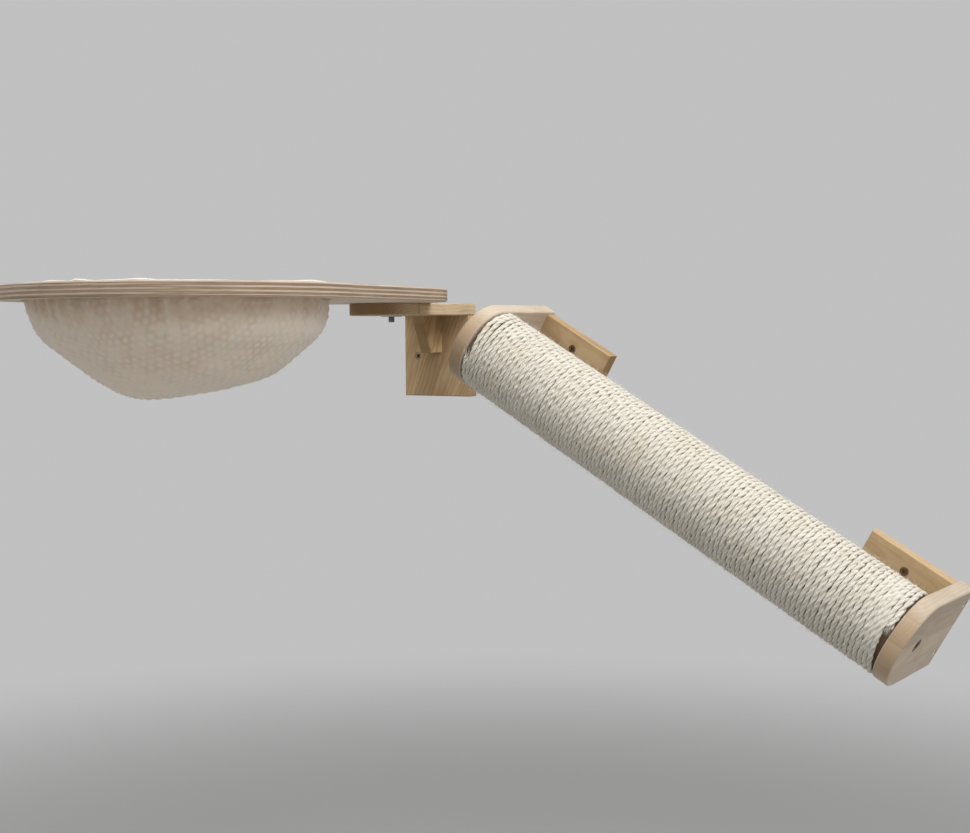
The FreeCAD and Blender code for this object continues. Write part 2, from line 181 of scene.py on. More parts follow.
class PlushLook(bpy.types.PropertyGroup):
    """Plush bag with raised dots."""
    cloth: colour_property("Cloth", "Colour of the pile", (0.82, 0.755, 0.665))
    raised: colour_property("Dots", "Colour of the raised dots", (0.90, 0.84, 0.74))
    # this colour also paints the shade in the folds near the ring
    shade: colour_property("Deep pile", "Colour between the dots and in the folds", (0.58, 0.475, 0.36))
    thick: length_property("Thickness", "Thickness of the plush", 3.6 * MM)
    dot_gap: length_property("Dot spacing", "Distance between the raised dots", 10.0 * MM)
    dot_radius: length_property("Dot radius", "Radius of one raised dot", 4.3 * MM)
    dot_height: length_property("Dot height", "Height of one raised dot", 1.5 * MM)
    seed: count_property("Seed", "Seed of the folds", 7)


class SisalLook(bpy.types.PropertyGroup):
    """Three-strand sisal rope wound on the post."""
    pale: colour_property("Pale fibre", "Fibres in the light", (0.86, 0.82, 0.725))
    # also the colour of the painted shade in the hollows between the strands
    brown_fibre_and_hollow_shade: colour_property("Brown fibre", "Single darker fibres and hollows", (0.46, 0.335, 0.185))
    rope: length_property("Rope diameter", "Diameter of the rope", 6 * MM)
    lay: length_property("Lay", "Length in which a strand goes once round the rope", 33 * MM)
    start: angle_property("First end", "Angle from the top of the post to the first end", 97)
    end: angle_property("Last end", "Angle from the top of the post to the last end", 72)
    turns: count_property("Turns", "Whole turns of the rope", 98, 1)
    stray: count_property("Stray fibres", "Number of loose fibres", 9000)
    seed: count_property("Seed", "Seed of the irregular lay", 3)


class MetalLook(bpy.types.PropertyGroup):
    """Screws, bolts, washers and nuts."""
    zinc: colour_property("Zinc", "Colour of the zinc-plated parts", (0.62, 0.62, 0.60))
    dark: colour_property("Bronzed steel", "Colour of the wall screws", (0.34, 0.25, 0.16))
    rough: share_property("Roughness", "Roughness of the plating", 0.34)


class StageLook(bpy.types.PropertyGroup):
    """Floor, light and camera."""
    floor_level: length_property("Floor", "Height of the floor under the origin", -1.0)
    floor: colour_property("Floor colour", "Colour of the floor", (0.42, 0.42, 0.415))
    backdrop: colour_property("Backdrop", "Colour behind the object", (0.53, 0.53, 0.53))
    air: colour_property("Room light", "Even light all round", (0.37, 0.37, 0.37))
    key: power_property("Overhead lamp", "Power of the wide soft lamp above", 48.0)
    right: power_property("Right lamp", "Power of the soft lamp high at the right", 36.0)
    left: power_property("Left lamp", "Power of the soft lamp high at the left", 10.0)
    lens: bpy.props.FloatProperty(name="Lens", description="Focal length in millimetres", default=56.016)


LOOKS = {
    "tree_timber": TimberLook,
    "tree_plywood": PlywoodLook,
    "tree_plush": PlushLook,
    "tree_sisal": SisalLook,
    "tree_metal": MetalLook,
    "tree_stage": StageLook,
}


# ---------------------------------------------------------------- shader recipes
class Number:
    """A number socket; Python's own operators on it add Math nodes."""

    def __init__(self, recipe, socket):
        self.recipe = recipe
        self.socket = socket

    def math(self, operation, *others, swap=False):
        terms = [self, *others]
        if swap:
            terms.reverse()
        made = self.recipe.node("ShaderNodeMath", {"operation": operation}, dict(enumerate(terms)))
        return Number(self.recipe, made.outputs[0])

    def __add__(self, other):
        return self.math("ADD", other)

    def __sub__(self, other):
        return self.math("SUBTRACT", other)

    def __rsub__(self, other):
        return self.math("SUBTRACT", other, swap=True)

    def __mul__(self, other):
        return self.math("MULTIPLY", other)

    def __truediv__(self, other):
        return self.math("DIVIDE", other)

    def __pow__(self, other):
        return self.math("POWER", other)

    def __abs__(self):
        return self.math("ABSOLUTE")

    __radd__ = __add__
    __rmul__ = __mul__

    def floor(self):
        return self.math("FLOOR")

    def fraction(self):
        return self.math("FRACT")

    def most(self, other):
        return self.math("MAXIMUM", other)

    def step(self, low, high):
        """0 below low and 1 above high, with a smooth step between."""
        made = self.recipe.node("ShaderNodeMapRange", {"interpolation_type": "SMOOTHSTEP"},
                                {"Value": self, "From Min": low, "From Max": high})
        return Number(self.recipe, made.outputs[0])


class Recipe:
    """The node tree of one material or world, and the one way to add a node to it."""

    def __init__(self, owner):
        if isinstance(owner, str):
            owner = bpy.data.materials.new(owner)
        owner.use_nodes = True
        self.material = owner
        self.tree = owner.node_tree
        self.tree.nodes.clear()

    def node(self, kind, settings=None, values=None):
        """Adds a node: its settings first, then the values or links of its sockets."""
        made = self.tree.nodes.new(kind)
        for name, value in (settings or {}).items():
            setattr(made, name, value)
        for name, value in (values or {}).items():
            socket = made.inputs[name]
            value = value.socket if isinstance(value, Number) else value
            if isinstance(value, bpy.types.NodeSocket):
                self.tree.links.new(value, socket)
            elif socket.type == "RGBA" and len(value) == 3:
                socket.default_value = (*value, 1)
            else:
                socket.default_value = value
        return made

    def coordinates(self, output="Object"):
        return self.node("ShaderNodeTexCoord").outputs[output]

    def stored(self, name):
        """A vector that the mesh stores at its points."""
        return self.node("ShaderNodeAttribute", {"attribute_name": name}).outputs["Vector"]

    def parts(self, vector):
        made = self.node("ShaderNodeSeparateXYZ", values={0: vector})
        return [Number(self, output) for output in made.outputs]

    def joined(self, x, y, z):
        return self.node("ShaderNodeCombineXYZ", values={0: x, 1: y, 2: z}).outputs[0]

    def scaled(self, vector, scale):
        made = self.node("ShaderNodeVectorMath", {"operation": "MULTIPLY"}, {0: vector, 1: scale})
        return made.outputs[0]

    def turned(self, vector, rotation):
        return self.node("ShaderNodeMapping", values={"Vector": vector, "Rotation": rotation}).outputs[0]

    def noise(self, vector, scale=1.0, detail=3.0, rough=0.5, bend=0.0):
        made = self.node("ShaderNodeTexNoise", values={"Vector": vector, "Scale": scale, "Detail": detail,
                                                       "Roughness": rough, "Distortion": bend})
        return Number(self, made.outputs[0])

    def chance(self, number):
        """A fixed random value and three more of them for each whole number."""
        made = self.node("ShaderNodeTexWhiteNoise", {"noise_dimensions": "1D"}, {"W": number})
        return Number(self, made.outputs["Value"]), self.parts(made.outputs["Color"])

    def mix(self, factor, first, second):
        """A colour between two; sockets 6 and 7 are the node's two colours and output 2 is its colour."""
        made = self.node("ShaderNodeMix", {"data_type": "RGBA"}, {0: factor, 6: first, 7: second})
        return made.outputs[2]

    def shaded(self, colour, amount):
        made = self.node("ShaderNodeVectorMath", {"operation": "SCALE"}, {0: colour, "Scale": amount})
        return made.outputs[0]

    def bump(self, height, distance, strength=1.0):
        return self.node("ShaderNodeBump", values={"Height": height, "Distance": distance,
                                                   "Strength": strength}).outputs[0]

    def finish(self, **values):
        """The surface shader with its inputs, and the material's output."""
        named = {name.replace("_", " "): value for name, value in values.items()}
        shader = self.node("ShaderNodeBsdfPrincipled", values=named)
        self.node("ShaderNodeOutputMaterial", values={"Surface": shader.outputs[0]})
        return self.material


def pine(name, look, wood, figure, rotation, axes, shift, middle, seed):
    """Edge-glued pine. Its strips come from different places in a tree, so each has its own growth rings.

    wood is the pale and the dark colour. axes says which turned coordinate runs along the grain, across the
    strips and through them. shift moves the strips, and middle is the middle of the piece's thickness.
    """
    mix = Recipe(name)
    pale, dark = wood
    sides = mix.parts(mix.turned(mix.coordinates(), rotation))
    grain, across, through = (sides[i] for i in axes)
    end_grain_and_shade = abs(mix.parts(mix.turned(mix.coordinates("Normal"), rotation))[axes[0]])

    def drawn_out(along, sideways, detail, bend=0.0):
        """Noise that is long along the grain; both rates are per metre."""
        place = mix.joined(grain * along, across * sideways, through * sideways)
        return mix.noise(place, detail=detail, bend=bend)

    strip = ((across + shift) / look.strip).floor()
    tone, (first, second, third) = mix.chance(strip + seed)
    off = across + shift - (strip + 0.5) * look.strip
    slow = mix.noise(mix.joined(grain * 9 + tone * 40, across * 26, through * 26), detail=2)
    core = (off + first * 0.05 - 0.025) ** 2 + (through - middle + second * 0.045 + 0.012) ** 2
    radius = core ** 0.5 + slow * 0.013 + grain * (third - 0.5) * 0.11
    ring = (radius / look.ring_gap).fraction()
    late = ring ** 2.0 * (1 - ring.step(0.88, 1.0))
    fibre = drawn_out(28, 1100, 3)
    fleck = drawn_out(90, 700, 1).step(0.66, 0.78)
    broad = drawn_out(16, 34, 3, 0.8)
    colour = mix.mix(late * figure * (0.4 + broad), pale, dark)
    colour = mix.mix(broad.step(0.42, 0.72) * figure * 0.7, colour, dark)
    colour = mix.mix((fibre - 0.35) * 0.34, colour, dark)
    colour = mix.mix(fleck * 0.22, colour, dark)
    # end grain is darker; this darkening is also made strong as painted shade, most of all on the tongue's
    # nose under the board
    colour = mix.mix(end_grain_and_shade.step(0.35, 0.95) * 0.72, colour, dark)
    joint = (abs(off) / look.strip).step(0.487, 0.4985)
    colour = mix.mix(joint * 0.4, colour, dark)
    colour = mix.shaded(colour, 0.87 + tone * 0.26)
    rough = 0.5 + fibre * 0.16 - late * 0.06
    height = fibre * 0.5 + late * 0.3 - joint * 0.6
    return mix.finish(Base_Color=colour, Roughness=rough, Specular_IOR_Level=0.12,
                      Normal=mix.bump(height, 0.00022, 0.7))


def plywood(name, look):
    """Birch plywood: veneer on the faces, and plies whose grain turns by a right angle at the edges. Its
    edge streaks are painted stronger on edges facing front or back, as painted shade.
    """
    mix = Recipe(name)
    x, y, z = mix.parts(mix.coordinates())
    nx, ny, nz = mix.parts(mix.coordinates("Normal"))
    warp = mix.noise(mix.joined(x * 14, y * 14, z * 90), detail=3) - 0.5
    level = (z - BOARD_LOW) / BOARD_THICK * look.plies + warp * 0.45
    ply = level.floor()
    turn = (ply * 0.5).fraction() * 2
    inside = level.fraction()
    tone, _ = mix.chance(ply + 11)
    across = turn * nx ** 2 + (1 - turn) * ny ** 2
    streak = mix.noise(mix.joined(x * 60, y * 60, z * 1300), detail=4, rough=0.6)
    blotch = mix.noise(mix.joined(x * 22, y * 22, z * 260 + tone * 30), detail=3)
    edge = mix.mix(across.step(0.12, 0.75) * 0.66 + blotch * 0.6 - 0.17, look.long_grain, look.end_grain)
    # dark streaks in the plies, plus painted shade: they are made stronger on edges that face front or back
    edge = mix.mix(streak.step(0.5, 0.78) * (0.35 + ny ** 2 * 0.4), edge, PLY_STREAK_AND_SHADE)
    edge = mix.mix(tone * 0.2, edge, PLY_TINT)
    hollow = mix.noise(mix.joined(x * 45, y * 45, ply * 3.7), detail=1).step(0.70, 0.74)
    glue = abs(inside - 0.5).step(0.42, 0.495)
    edge = mix.mix(glue * 0.75, edge, PLY_GLUE)
    edge = mix.mix(hollow * glue * 0.8, edge, PLY_GAP)
    swirl = mix.noise(mix.joined(x * 34, y * 2.6, z), detail=3, bend=1.6)
    lines = (swirl * 9).fraction().step(0.55, 1.0)
    fine = mix.noise(mix.joined(x * 900, y * 30, z), detail=3)
    face = mix.mix(lines * 0.30, look.face, VENEER_LINE)
    face = mix.mix(fine * 0.3, face, VENEER_PALE)
    pores = mix.noise(mix.joined(x * 1500, y * 120, z), detail=0).step(0.74, 0.82)
    face = mix.mix(pores * 0.35, face, VENEER_PORE)
    flat = abs(nz).step(0.8, 0.95)
    colour = mix.mix(flat, edge, face)
    rough = 0.52 + streak * 0.2 * (1 - flat)
    height = streak * (1 - flat) + fine * flat * 0.4 - glue * (1 - flat) * 0.8
    return mix.finish(Base_Color=colour, Roughness=rough, Specular_IOR_Level=0.2,
                      Normal=mix.bump(height, 0.0003, 0.8))


def plush(name, look):
    """Short soft pile, paler on the raised dots, with painted shade in the folds near the ring."""
    mix = Recipe(name)
    here = mix.coordinates()
    dot, fold, low = mix.parts(mix.stored("cloth_place"))
    cloud = mix.noise(here, 38, 3, 0.6, 0.5)
    tuft = mix.noise(here, 620, 3, 0.65)
    pile = mix.noise(here, 2300, 2, 0.6)
    clear = 0.2 + cloud.step(0.40, 0.62) * 0.8
    colour = mix.mix((1 - dot) * (1 - low) * clear * 0.4, look.cloth, look.shade)
    colour = mix.mix(dot * clear * (1 - low * 0.75) * 0.85 + tuft * 0.2 - 0.1, colour, look.raised)
    # painted shade in the folds near the ring
    colour = mix.mix(fold * (0.1 + cloud * 1.3) * 0.8, colour, look.shade)
    colour = mix.mix((pile - 0.45) * 0.5, colour, look.raised)
    height = tuft * 0.7 + pile * 0.5
    return mix.finish(Base_Color=colour, Roughness=0.92, Sheen_Weight=0.35, Sheen_Roughness=0.55,
                      Sheen_Tint=SHEEN_CREAM, Specular_IOR_Level=0.15, Subsurface_Weight=0.7,
                      Subsurface_Radius=(1.0, 0.82, 0.66), Subsurface_Scale=0.007,
                      Normal=mix.bump(height, 0.0009, 0.9))


def sisal(name, look):
    """Hard pale plant fibre, with browner fibres in it and painted shade in the hollows between the strands.
    """
    mix = Recipe(name)
    along, round_it, depth = mix.parts(mix.stored("fibre_place"))
    hair = mix.noise(mix.joined(along * 160, round_it * 3.2, depth * 900), detail=4, rough=0.65)
    coarse = mix.noise(mix.joined(along * 55, round_it * 1.1, 0.0), detail=2)
    cloud = mix.noise(mix.coordinates(), 26, 3, 0.6)
    colour = mix.mix(hair.step(0.42, 0.75) * 0.5, look.pale, FIBRE_TAN)
    colour = mix.mix(coarse.step(0.45, 0.8) * 0.55, colour, FIBRE_BLEACHED)
    colour = mix.mix(hair.step(0.68, 0.82) * 0.5, colour, look.brown_fibre_and_hollow_shade)
    colour = mix.mix(cloud.step(0.45, 0.75) * 0.35, colour, FIBRE_CLOUD)
    # painted shade: the deeper a point lies in the hollows between the strands, the darker it is
    colour = mix.mix(depth.step(0.2, 0.9) * 0.6, colour, look.brown_fibre_and_hollow_shade)
    return mix.finish(Base_Color=colour, Roughness=0.72 + hair * 0.15, Specular_IOR_Level=0.3,
                      Normal=mix.bump(hair, 0.0006, 0.9))


def plated(name, colour, rough, worn):
    """Plated steel with fine scuffs; worn is its colour where the plating is thin."""
    mix = Recipe(name)
    here = mix.coordinates()
    cloud = mix.noise(here, 240, 4, 0.6)
    scuff = mix.noise(mix.scaled(here, (900, 120, 2600)), detail=2).step(0.58, 0.75)
    shade = mix.mix(cloud.step(0.35, 0.75) * 0.5, colour, worn)
    return mix.finish(Base_Color=shade, Metallic=1.0, Roughness=rough + scuff * 0.18 + cloud * 0.1,
                      Normal=mix.bump(cloud * 0.4 + scuff * 0.3, 0.00005, 0.6))


def paper_tube(name):
    """Wound paper with a spiral seam, coloured very dark as painted shadow for the gaps where it shows
    between the rope and the end plates.
    """
    seam_pitch = 60 * MM
    mix = Recipe(name)
    here = mix.turned(mix.coordinates(), (0, -POST_TILT, 0))
    along, y, z = mix.parts(here)
    around = (y - POST_MIDDLE.y).math("ARCTAN2", z)
    seam = (along / seam_pitch + around / TURN).fraction()
    line = abs(seam - 0.5).step(0.492, 0.499)
    pulp = mix.noise(here, 420, 4, 0.7)
    fleck = mix.noise(here, 1500, 1).step(0.68, 0.76)
    # painted shadow in the paper's base colour
    colour = mix.mix(pulp * 0.7, PAPER_SHADOW_DARK, PAPER_SHADOW_PALE)
    colour = mix.mix(fleck * 0.5, colour, PAPER_FLECK)
    colour = mix.mix(line * 0.7, colour, PAPER_SEAM)
    return mix.finish(Base_Color=colour, Roughness=0.9, Normal=mix.bump(pulp - line, 0.0003, 0.6))


def nylon_hooks(name):
    """Off-white nylon of the hook tape."""
    mix = Recipe(name)
    here = mix.coordinates()
    weave = mix.noise(here, 1800, 2)
    cloud = mix.noise(here, 90, 2)
    colour = mix.mix(weave * 0.5, NYLON_SHADE, NYLON_PALE)
    colour = mix.mix((cloud - 0.4) * 0.4, colour, NYLON_DUST)
    return mix.finish(Base_Color=colour, Roughness=0.55 + weave * 0.15,
                      Normal=mix.bump(weave, 0.00015, 0.6))


# ---------------------------------------------------------------- mesh help
def mesh_piece(name, points, faces, material, body, smooth=True):
    """A new piece from points and faces, in its place, riding on a body."""
    mesh = bpy.data.meshes.new(name)
    corners = np.concatenate([np.asarray(face) for face in faces])
    starts = np.cumsum([0] + [len(face) for face in faces[:-1]])
    mesh.vertices.add(len(points))
    mesh.vertices.foreach_set("co", np.asarray(points, np.float32).ravel())
    mesh.loops.add(len(corners))
    mesh.loops.foreach_set("vertex_index", corners.astype(np.int32))
    mesh.polygons.add(len(faces))
    mesh.polygons.foreach_set("loop_start", starts.astype(np.int32))
    mesh.update(calc_edges=True)
    if mesh.validate():
        raise RuntimeError(name + ": the mesh has faces that can't be")
    mesh.polygons.foreach_set("use_smooth", np.full(len(faces), smooth))
    mesh.materials.append(material)
    piece = bpy.data.objects.new(name, mesh)
    bpy.context.scene.collection.objects.link(piece)
    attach(piece, body)
    return piece


def store_vectors(piece, name, values):
    """Stores a vector at each point, for the material."""
    layer = piece.data.attributes.new(name, "FLOAT_VECTOR", "POINT")
    layer.data.foreach_set("vector", np.asarray(values, np.float32).ravel())


def wall_faces(rows, columns):
    """Faces between rows of points that each go once round."""
    i, j = np.meshgrid(np.arange(rows - 1), np.arange(columns), indexing="ij")
    after = (j + 1) % columns
    quads = np.stack([i * columns + j, i * columns + after, (i + 1) * columns + after,
                      (i + 1) * columns + j], -1)
    return quads.reshape(-1, 4)


def tube_faces(rows, columns, first=0):
    """Faces of a closed tube of rows of points, and of its two flat ends."""
    last = first + (rows - 1) * columns
    faces = [list(face) for face in wall_faces(rows, columns) + first]
    faces.append([first + k for k in range(columns)][::-1])
    faces.append([last + k for k in range(columns)])
    return faces


def waves(rng, count, low, high):
    """A smooth random function made of sine waves, between about -1 and 1."""
    rates = rng.uniform(low, high, count)
    phases = rng.uniform(0, TURN, count)

    def wave(t):
        total = sum(np.sin(np.asarray(t) * rate + phase) for rate, phase in zip(rates, phases))
        return total / count ** 0.5

    return wave


def soft_step(low, high, value):
    """0 up to low, 1 from high on, and a smooth step between."""
    share = np.clip((value - low) / (high - low), 0, 1)
    return share * share * (3 - 2 * share)


def lathe(rows, columns, base, axis, points, faces):
    """Adds a closed turned shape: each row is (radius, height) as numbers or as a function of the angle."""
    angles = np.arange(columns) / columns * TURN
    side = axis.orthogonal().normalized()
    up = axis.cross(side)
    first = len(points)
    for radius, height in rows:
        radii = radius(angles) if callable(radius) else np.full(columns, radius)
        heights = height(angles) if callable(height) else np.full(columns, height)
        for angle, r, h in zip(angles, radii, heights):
            points.append(base + side * (r * math.cos(angle)) + up * (r * math.sin(angle)) + axis * h)
    faces.extend(tube_faces(len(rows), columns, first))


def thread_ridge(angles, height, pitch, sharp):
    """How far a thread's ridge stands out at this height, from 0 to 1; sharp is its share of a pitch."""
    saw = np.abs((height / pitch - angles / TURN) % 1 * 2 - 1)
    return np.clip(1 - saw / sharp, 0, 1)


def thread_rows(low, high, core, crest, pitch, sharp):
    """Rows of a screw thread from height low to high, which fades out at both ends."""
    rows_a_turn, fade = 6, 1.5 * MM
    rows = []
    count = max(2, int(round((high - low) / pitch * rows_a_turn)))
    for i in range(count + 1):
        height = low + (high - low) * i / count
        ease = min(1.0, (height - low) / fade, (high - height) / fade)

        def radius(angles, height=height, ease=ease):
            return core + (crest - core) * thread_ridge(angles, height, pitch, sharp) * ease
        rows.append((radius, height))
    return rows


def turn_edges(piece, degrees):
    """Marks edges sharper than this angle as hard, so that the flats stay crisp."""
    piece.data.set_sharp_from_angle(angle=math.radians(degrees))


def dress(node, material):
    """Gives a packed node its material."""
    if node not in NODES:
        raise RuntimeError("there is no node " + node)
    data = NODES[node].data
    data.materials.clear()
    data.materials.append(material)


# ---------------------------------------------------------------- operators
class StageOperator(bpy.types.Operator):
    """Pale floor, soft lamps and the camera at the photograph's angle"""
    bl_idname = "cat_tree.stage"
    bl_label = "Stage"

    # each lamp's setting for its power, its width and depth, its place and what it points at, in metres
    LAMPS = {
        "overhead_lamp": ("key", (4.2, 1.7), Vector((0.5, -0.95, 1.9)), Vector((0.4, -0.3, 0))),
        "right_lamp": ("right", (1.6, 1.6), Vector((2.2, -0.6, 1.7)), Vector((0.2, -0.2, 0))),
        "left_lamp": ("left", (1.6, 1.6), Vector((-2.4, -1.0, 1.2)), Vector((0.0, -0.2, 0))),
    }
    FLOOR_RADII = (0.6, 1.4, 2.2, 3.0)
    FLOOR_FADE = (1.2, 2.9)
    SENSOR = 36
    EYE = Vector((1.17442, -1.58615, 0.0333))
    HEADING = math.radians(34.960)
    PITCH = math.radians(-3.286)
    ROLL = math.radians(-0.471)

    def execute(self, context):
        look = context.scene.tree_stage
        self.floor(look)
        self.world(context.scene, look)
        for name, (power, size, place, target) in self.LAMPS.items():
            self.lamp(name, getattr(look, power), size, place, target)
        self.camera(context.scene, look)
        context.scene.view_settings.view_transform = "Standard"
        return {"FINISHED"}

    def floor(self, look):
        """A round floor, in rings."""
        columns = 96
        angles = [TURN * k / columns for k in range(columns)]
        points = [(radius * math.cos(angle), radius * math.sin(angle), look.floor_level)
                  for radius in self.FLOOR_RADII for angle in angles]
        faces = [face[::-1] for face in wall_faces(len(self.FLOOR_RADII), columns).tolist()]
        faces.append(list(range(columns)))
        mesh = bpy.data.meshes.new("floor")
        mesh.from_pydata(points, [], faces)
        floor = bpy.data.objects.new("floor", mesh)
        bpy.context.scene.collection.objects.link(floor)
        mesh.materials.append(self.floor_paint(look))

    def floor_paint(self, look):
        """Matt floor that fades into the room's colour far from the object."""
        mix = Recipe("pale_floor")
        x, y, z = mix.parts(mix.coordinates())
        far = ((x ** 2 + y ** 2) ** 0.5).step(*self.FLOOR_FADE)
        speck = mix.noise(mix.coordinates(), 40, 2)
        colour = mix.mix(speck * 0.06, look.floor, FLOOR_SPECK)
        matt = mix.node("ShaderNodeBsdfDiffuse", values={"Color": colour})
        clear = mix.node("ShaderNodeBsdfTransparent")
        both = mix.node("ShaderNodeMixShader", values={0: far, 1: matt.outputs[0], 2: clear.outputs[0]})
        mix.node("ShaderNodeOutputMaterial", values={"Surface": both.outputs[0]})
        return mix.material

    def world(self, scene, look):
        """Even light, with the backdrop's colour where the camera or a reflection looks past the object."""
        scene.world = bpy.data.worlds.new("even_light")
        mix = Recipe(scene.world)
        path = mix.node("ShaderNodeLightPath")
        seen = Number(mix, path.outputs["Is Camera Ray"]).most(Number(mix, path.outputs["Is Glossy Ray"]))
        seen = seen.most(Number(mix, path.outputs["Is Transmission Ray"]))
        air = mix.node("ShaderNodeBackground", values={"Color": mix.mix(seen, look.air, look.backdrop)})
        mix.node("ShaderNodeOutputWorld", values={"Surface": air.outputs[0]})

    def lamp(self, name, power, size, place, target):
        """A soft rectangular lamp that points at its target."""
        data = bpy.data.lights.new(name, "AREA")
        data.shape = "RECTANGLE"
        data.energy = power
        data.size, data.size_y = size
        lamp = bpy.data.objects.new(name, data)
        bpy.context.scene.collection.objects.link(lamp)
        lamp.location = place
        lamp.rotation_mode = "QUATERNION"
        lamp.rotation_quaternion = (target - place).to_track_quat("-Z", "Y")

    def camera(self, scene, look):
        """The place, heading, pitch and roll that the object's own corners give in the photograph."""
        data = bpy.data.cameras.new("camera")
        data.lens = look.lens
        data.sensor_width = self.SENSOR
        data.clip_start = 0.01
        data.clip_end = 100
        camera = bpy.data.objects.new("camera", data)
        scene.collection.objects.link(camera)
        level = Vector((-math.sin(self.HEADING), math.cos(self.HEADING), 0))
        ahead = level * math.cos(self.PITCH) + Vector((0, 0, math.sin(self.PITCH)))
        right = Vector((math.cos(self.HEADING), math.sin(self.HEADING), 0))
        up = right.cross(ahead)
        turned_right = right * math.cos(self.ROLL) + up * math.sin(self.ROLL)
        turned_up = up * math.cos(self.ROLL) - right * math.sin(self.ROLL)
        turn = Matrix((turned_right, turned_up, -ahead)).transposed()
        camera.matrix_world = Matrix.Translation(self.EYE) @ turn.to_4x4()
        scene.camera = camera


class TimberOperator(bpy.types.Operator):
    """Edge-glued pine on the bracket, the end plates, the wall planks and the core plugs"""
    bl_idname = "cat_tree.timber"
    bl_label = "Timber"

    PLANK_BEHIND = 109 * MM

    def execute(self, context):
        look = context.scene.tree_timber
        along, across = POST_MIDDLE.dot(POST_ALONG), POST_MIDDLE.dot(POST_ACROSS)
        upper, lower = along - POST_LENGTH / 2, along + POST_LENGTH / 2
        plank = POST_MIDDLE.y + self.PLANK_BEHIND
        frame = (look.frame_pale, look.frame_dark)
        tongue = (look.tongue_pale, look.tongue_rings_and_shade)
        plate = (look.plate_pale, look.plate_dark)
        level, tilt = (0, 0, 0), (0, -POST_TILT, 0)
        askew, leaning = (0, math.radians(-24), 0), (math.radians(28), 0, 0)
        # wood, strength of the rings, rotation, axes, shift of the strips, middle of the thickness, seed
        recipes = {
            "bracket_back_plate": (frame, 0.6, askew, (2, 0, 1), 0.041, 0.0, 3),
            "bracket_tongue": (tongue, 0.4, level, (1, 0, 2), 0.030, 0.06, 21),
            "bracket_gusset": (frame, 0.8, leaning, (2, 1, 0), 0.012, 0.0, 35),
            "upper_end_plate": (plate, 0.30, tilt, (1, 2, 0), 0.021 - across, upper, 47),
            "lower_end_plate": (plate, 0.30, tilt, (1, 2, 0), 0.021 - across, lower, 58),
            "upper_wall_plank": (frame, 0.75, tilt, (0, 2, 1), 0.009 - across, plank, 66),
            "lower_wall_plank": (frame, 0.35, tilt, (0, 2, 1), 0.015 - across, plank, 79),
            "upper_core_plug": (frame, 0.4, tilt, (1, 2, 0), -across, upper, 83),
            "lower_core_plug": (frame, 0.4, tilt, (1, 2, 0), -across, lower, 91),
        }
        for node, recipe in recipes.items():
            dress(node, pine("pine_" + node, look, *recipe))
        return {"FINISHED"}


class BoardOperator(bpy.types.Operator):
    """Birch plywood on the hammock's ring"""
    bl_idname = "cat_tree.board"
    bl_label = "Plywood ring"

    def execute(self, context):
        dress("hammock_board", plywood("birch_plywood", context.scene.tree_plywood))
        return {"FINISHED"}


# one row of the bag's skin: where it is, how far out its cloth was cut, and its shares of dot and fold
BagRow = namedtuple("BagRow", "radius height shift cloth dot_share fold_share side")
# one row of the hem: its place from the hole to the outer edge and from the underside to the top, as shares
HemRow = namedtuple("HemRow", "share lift")


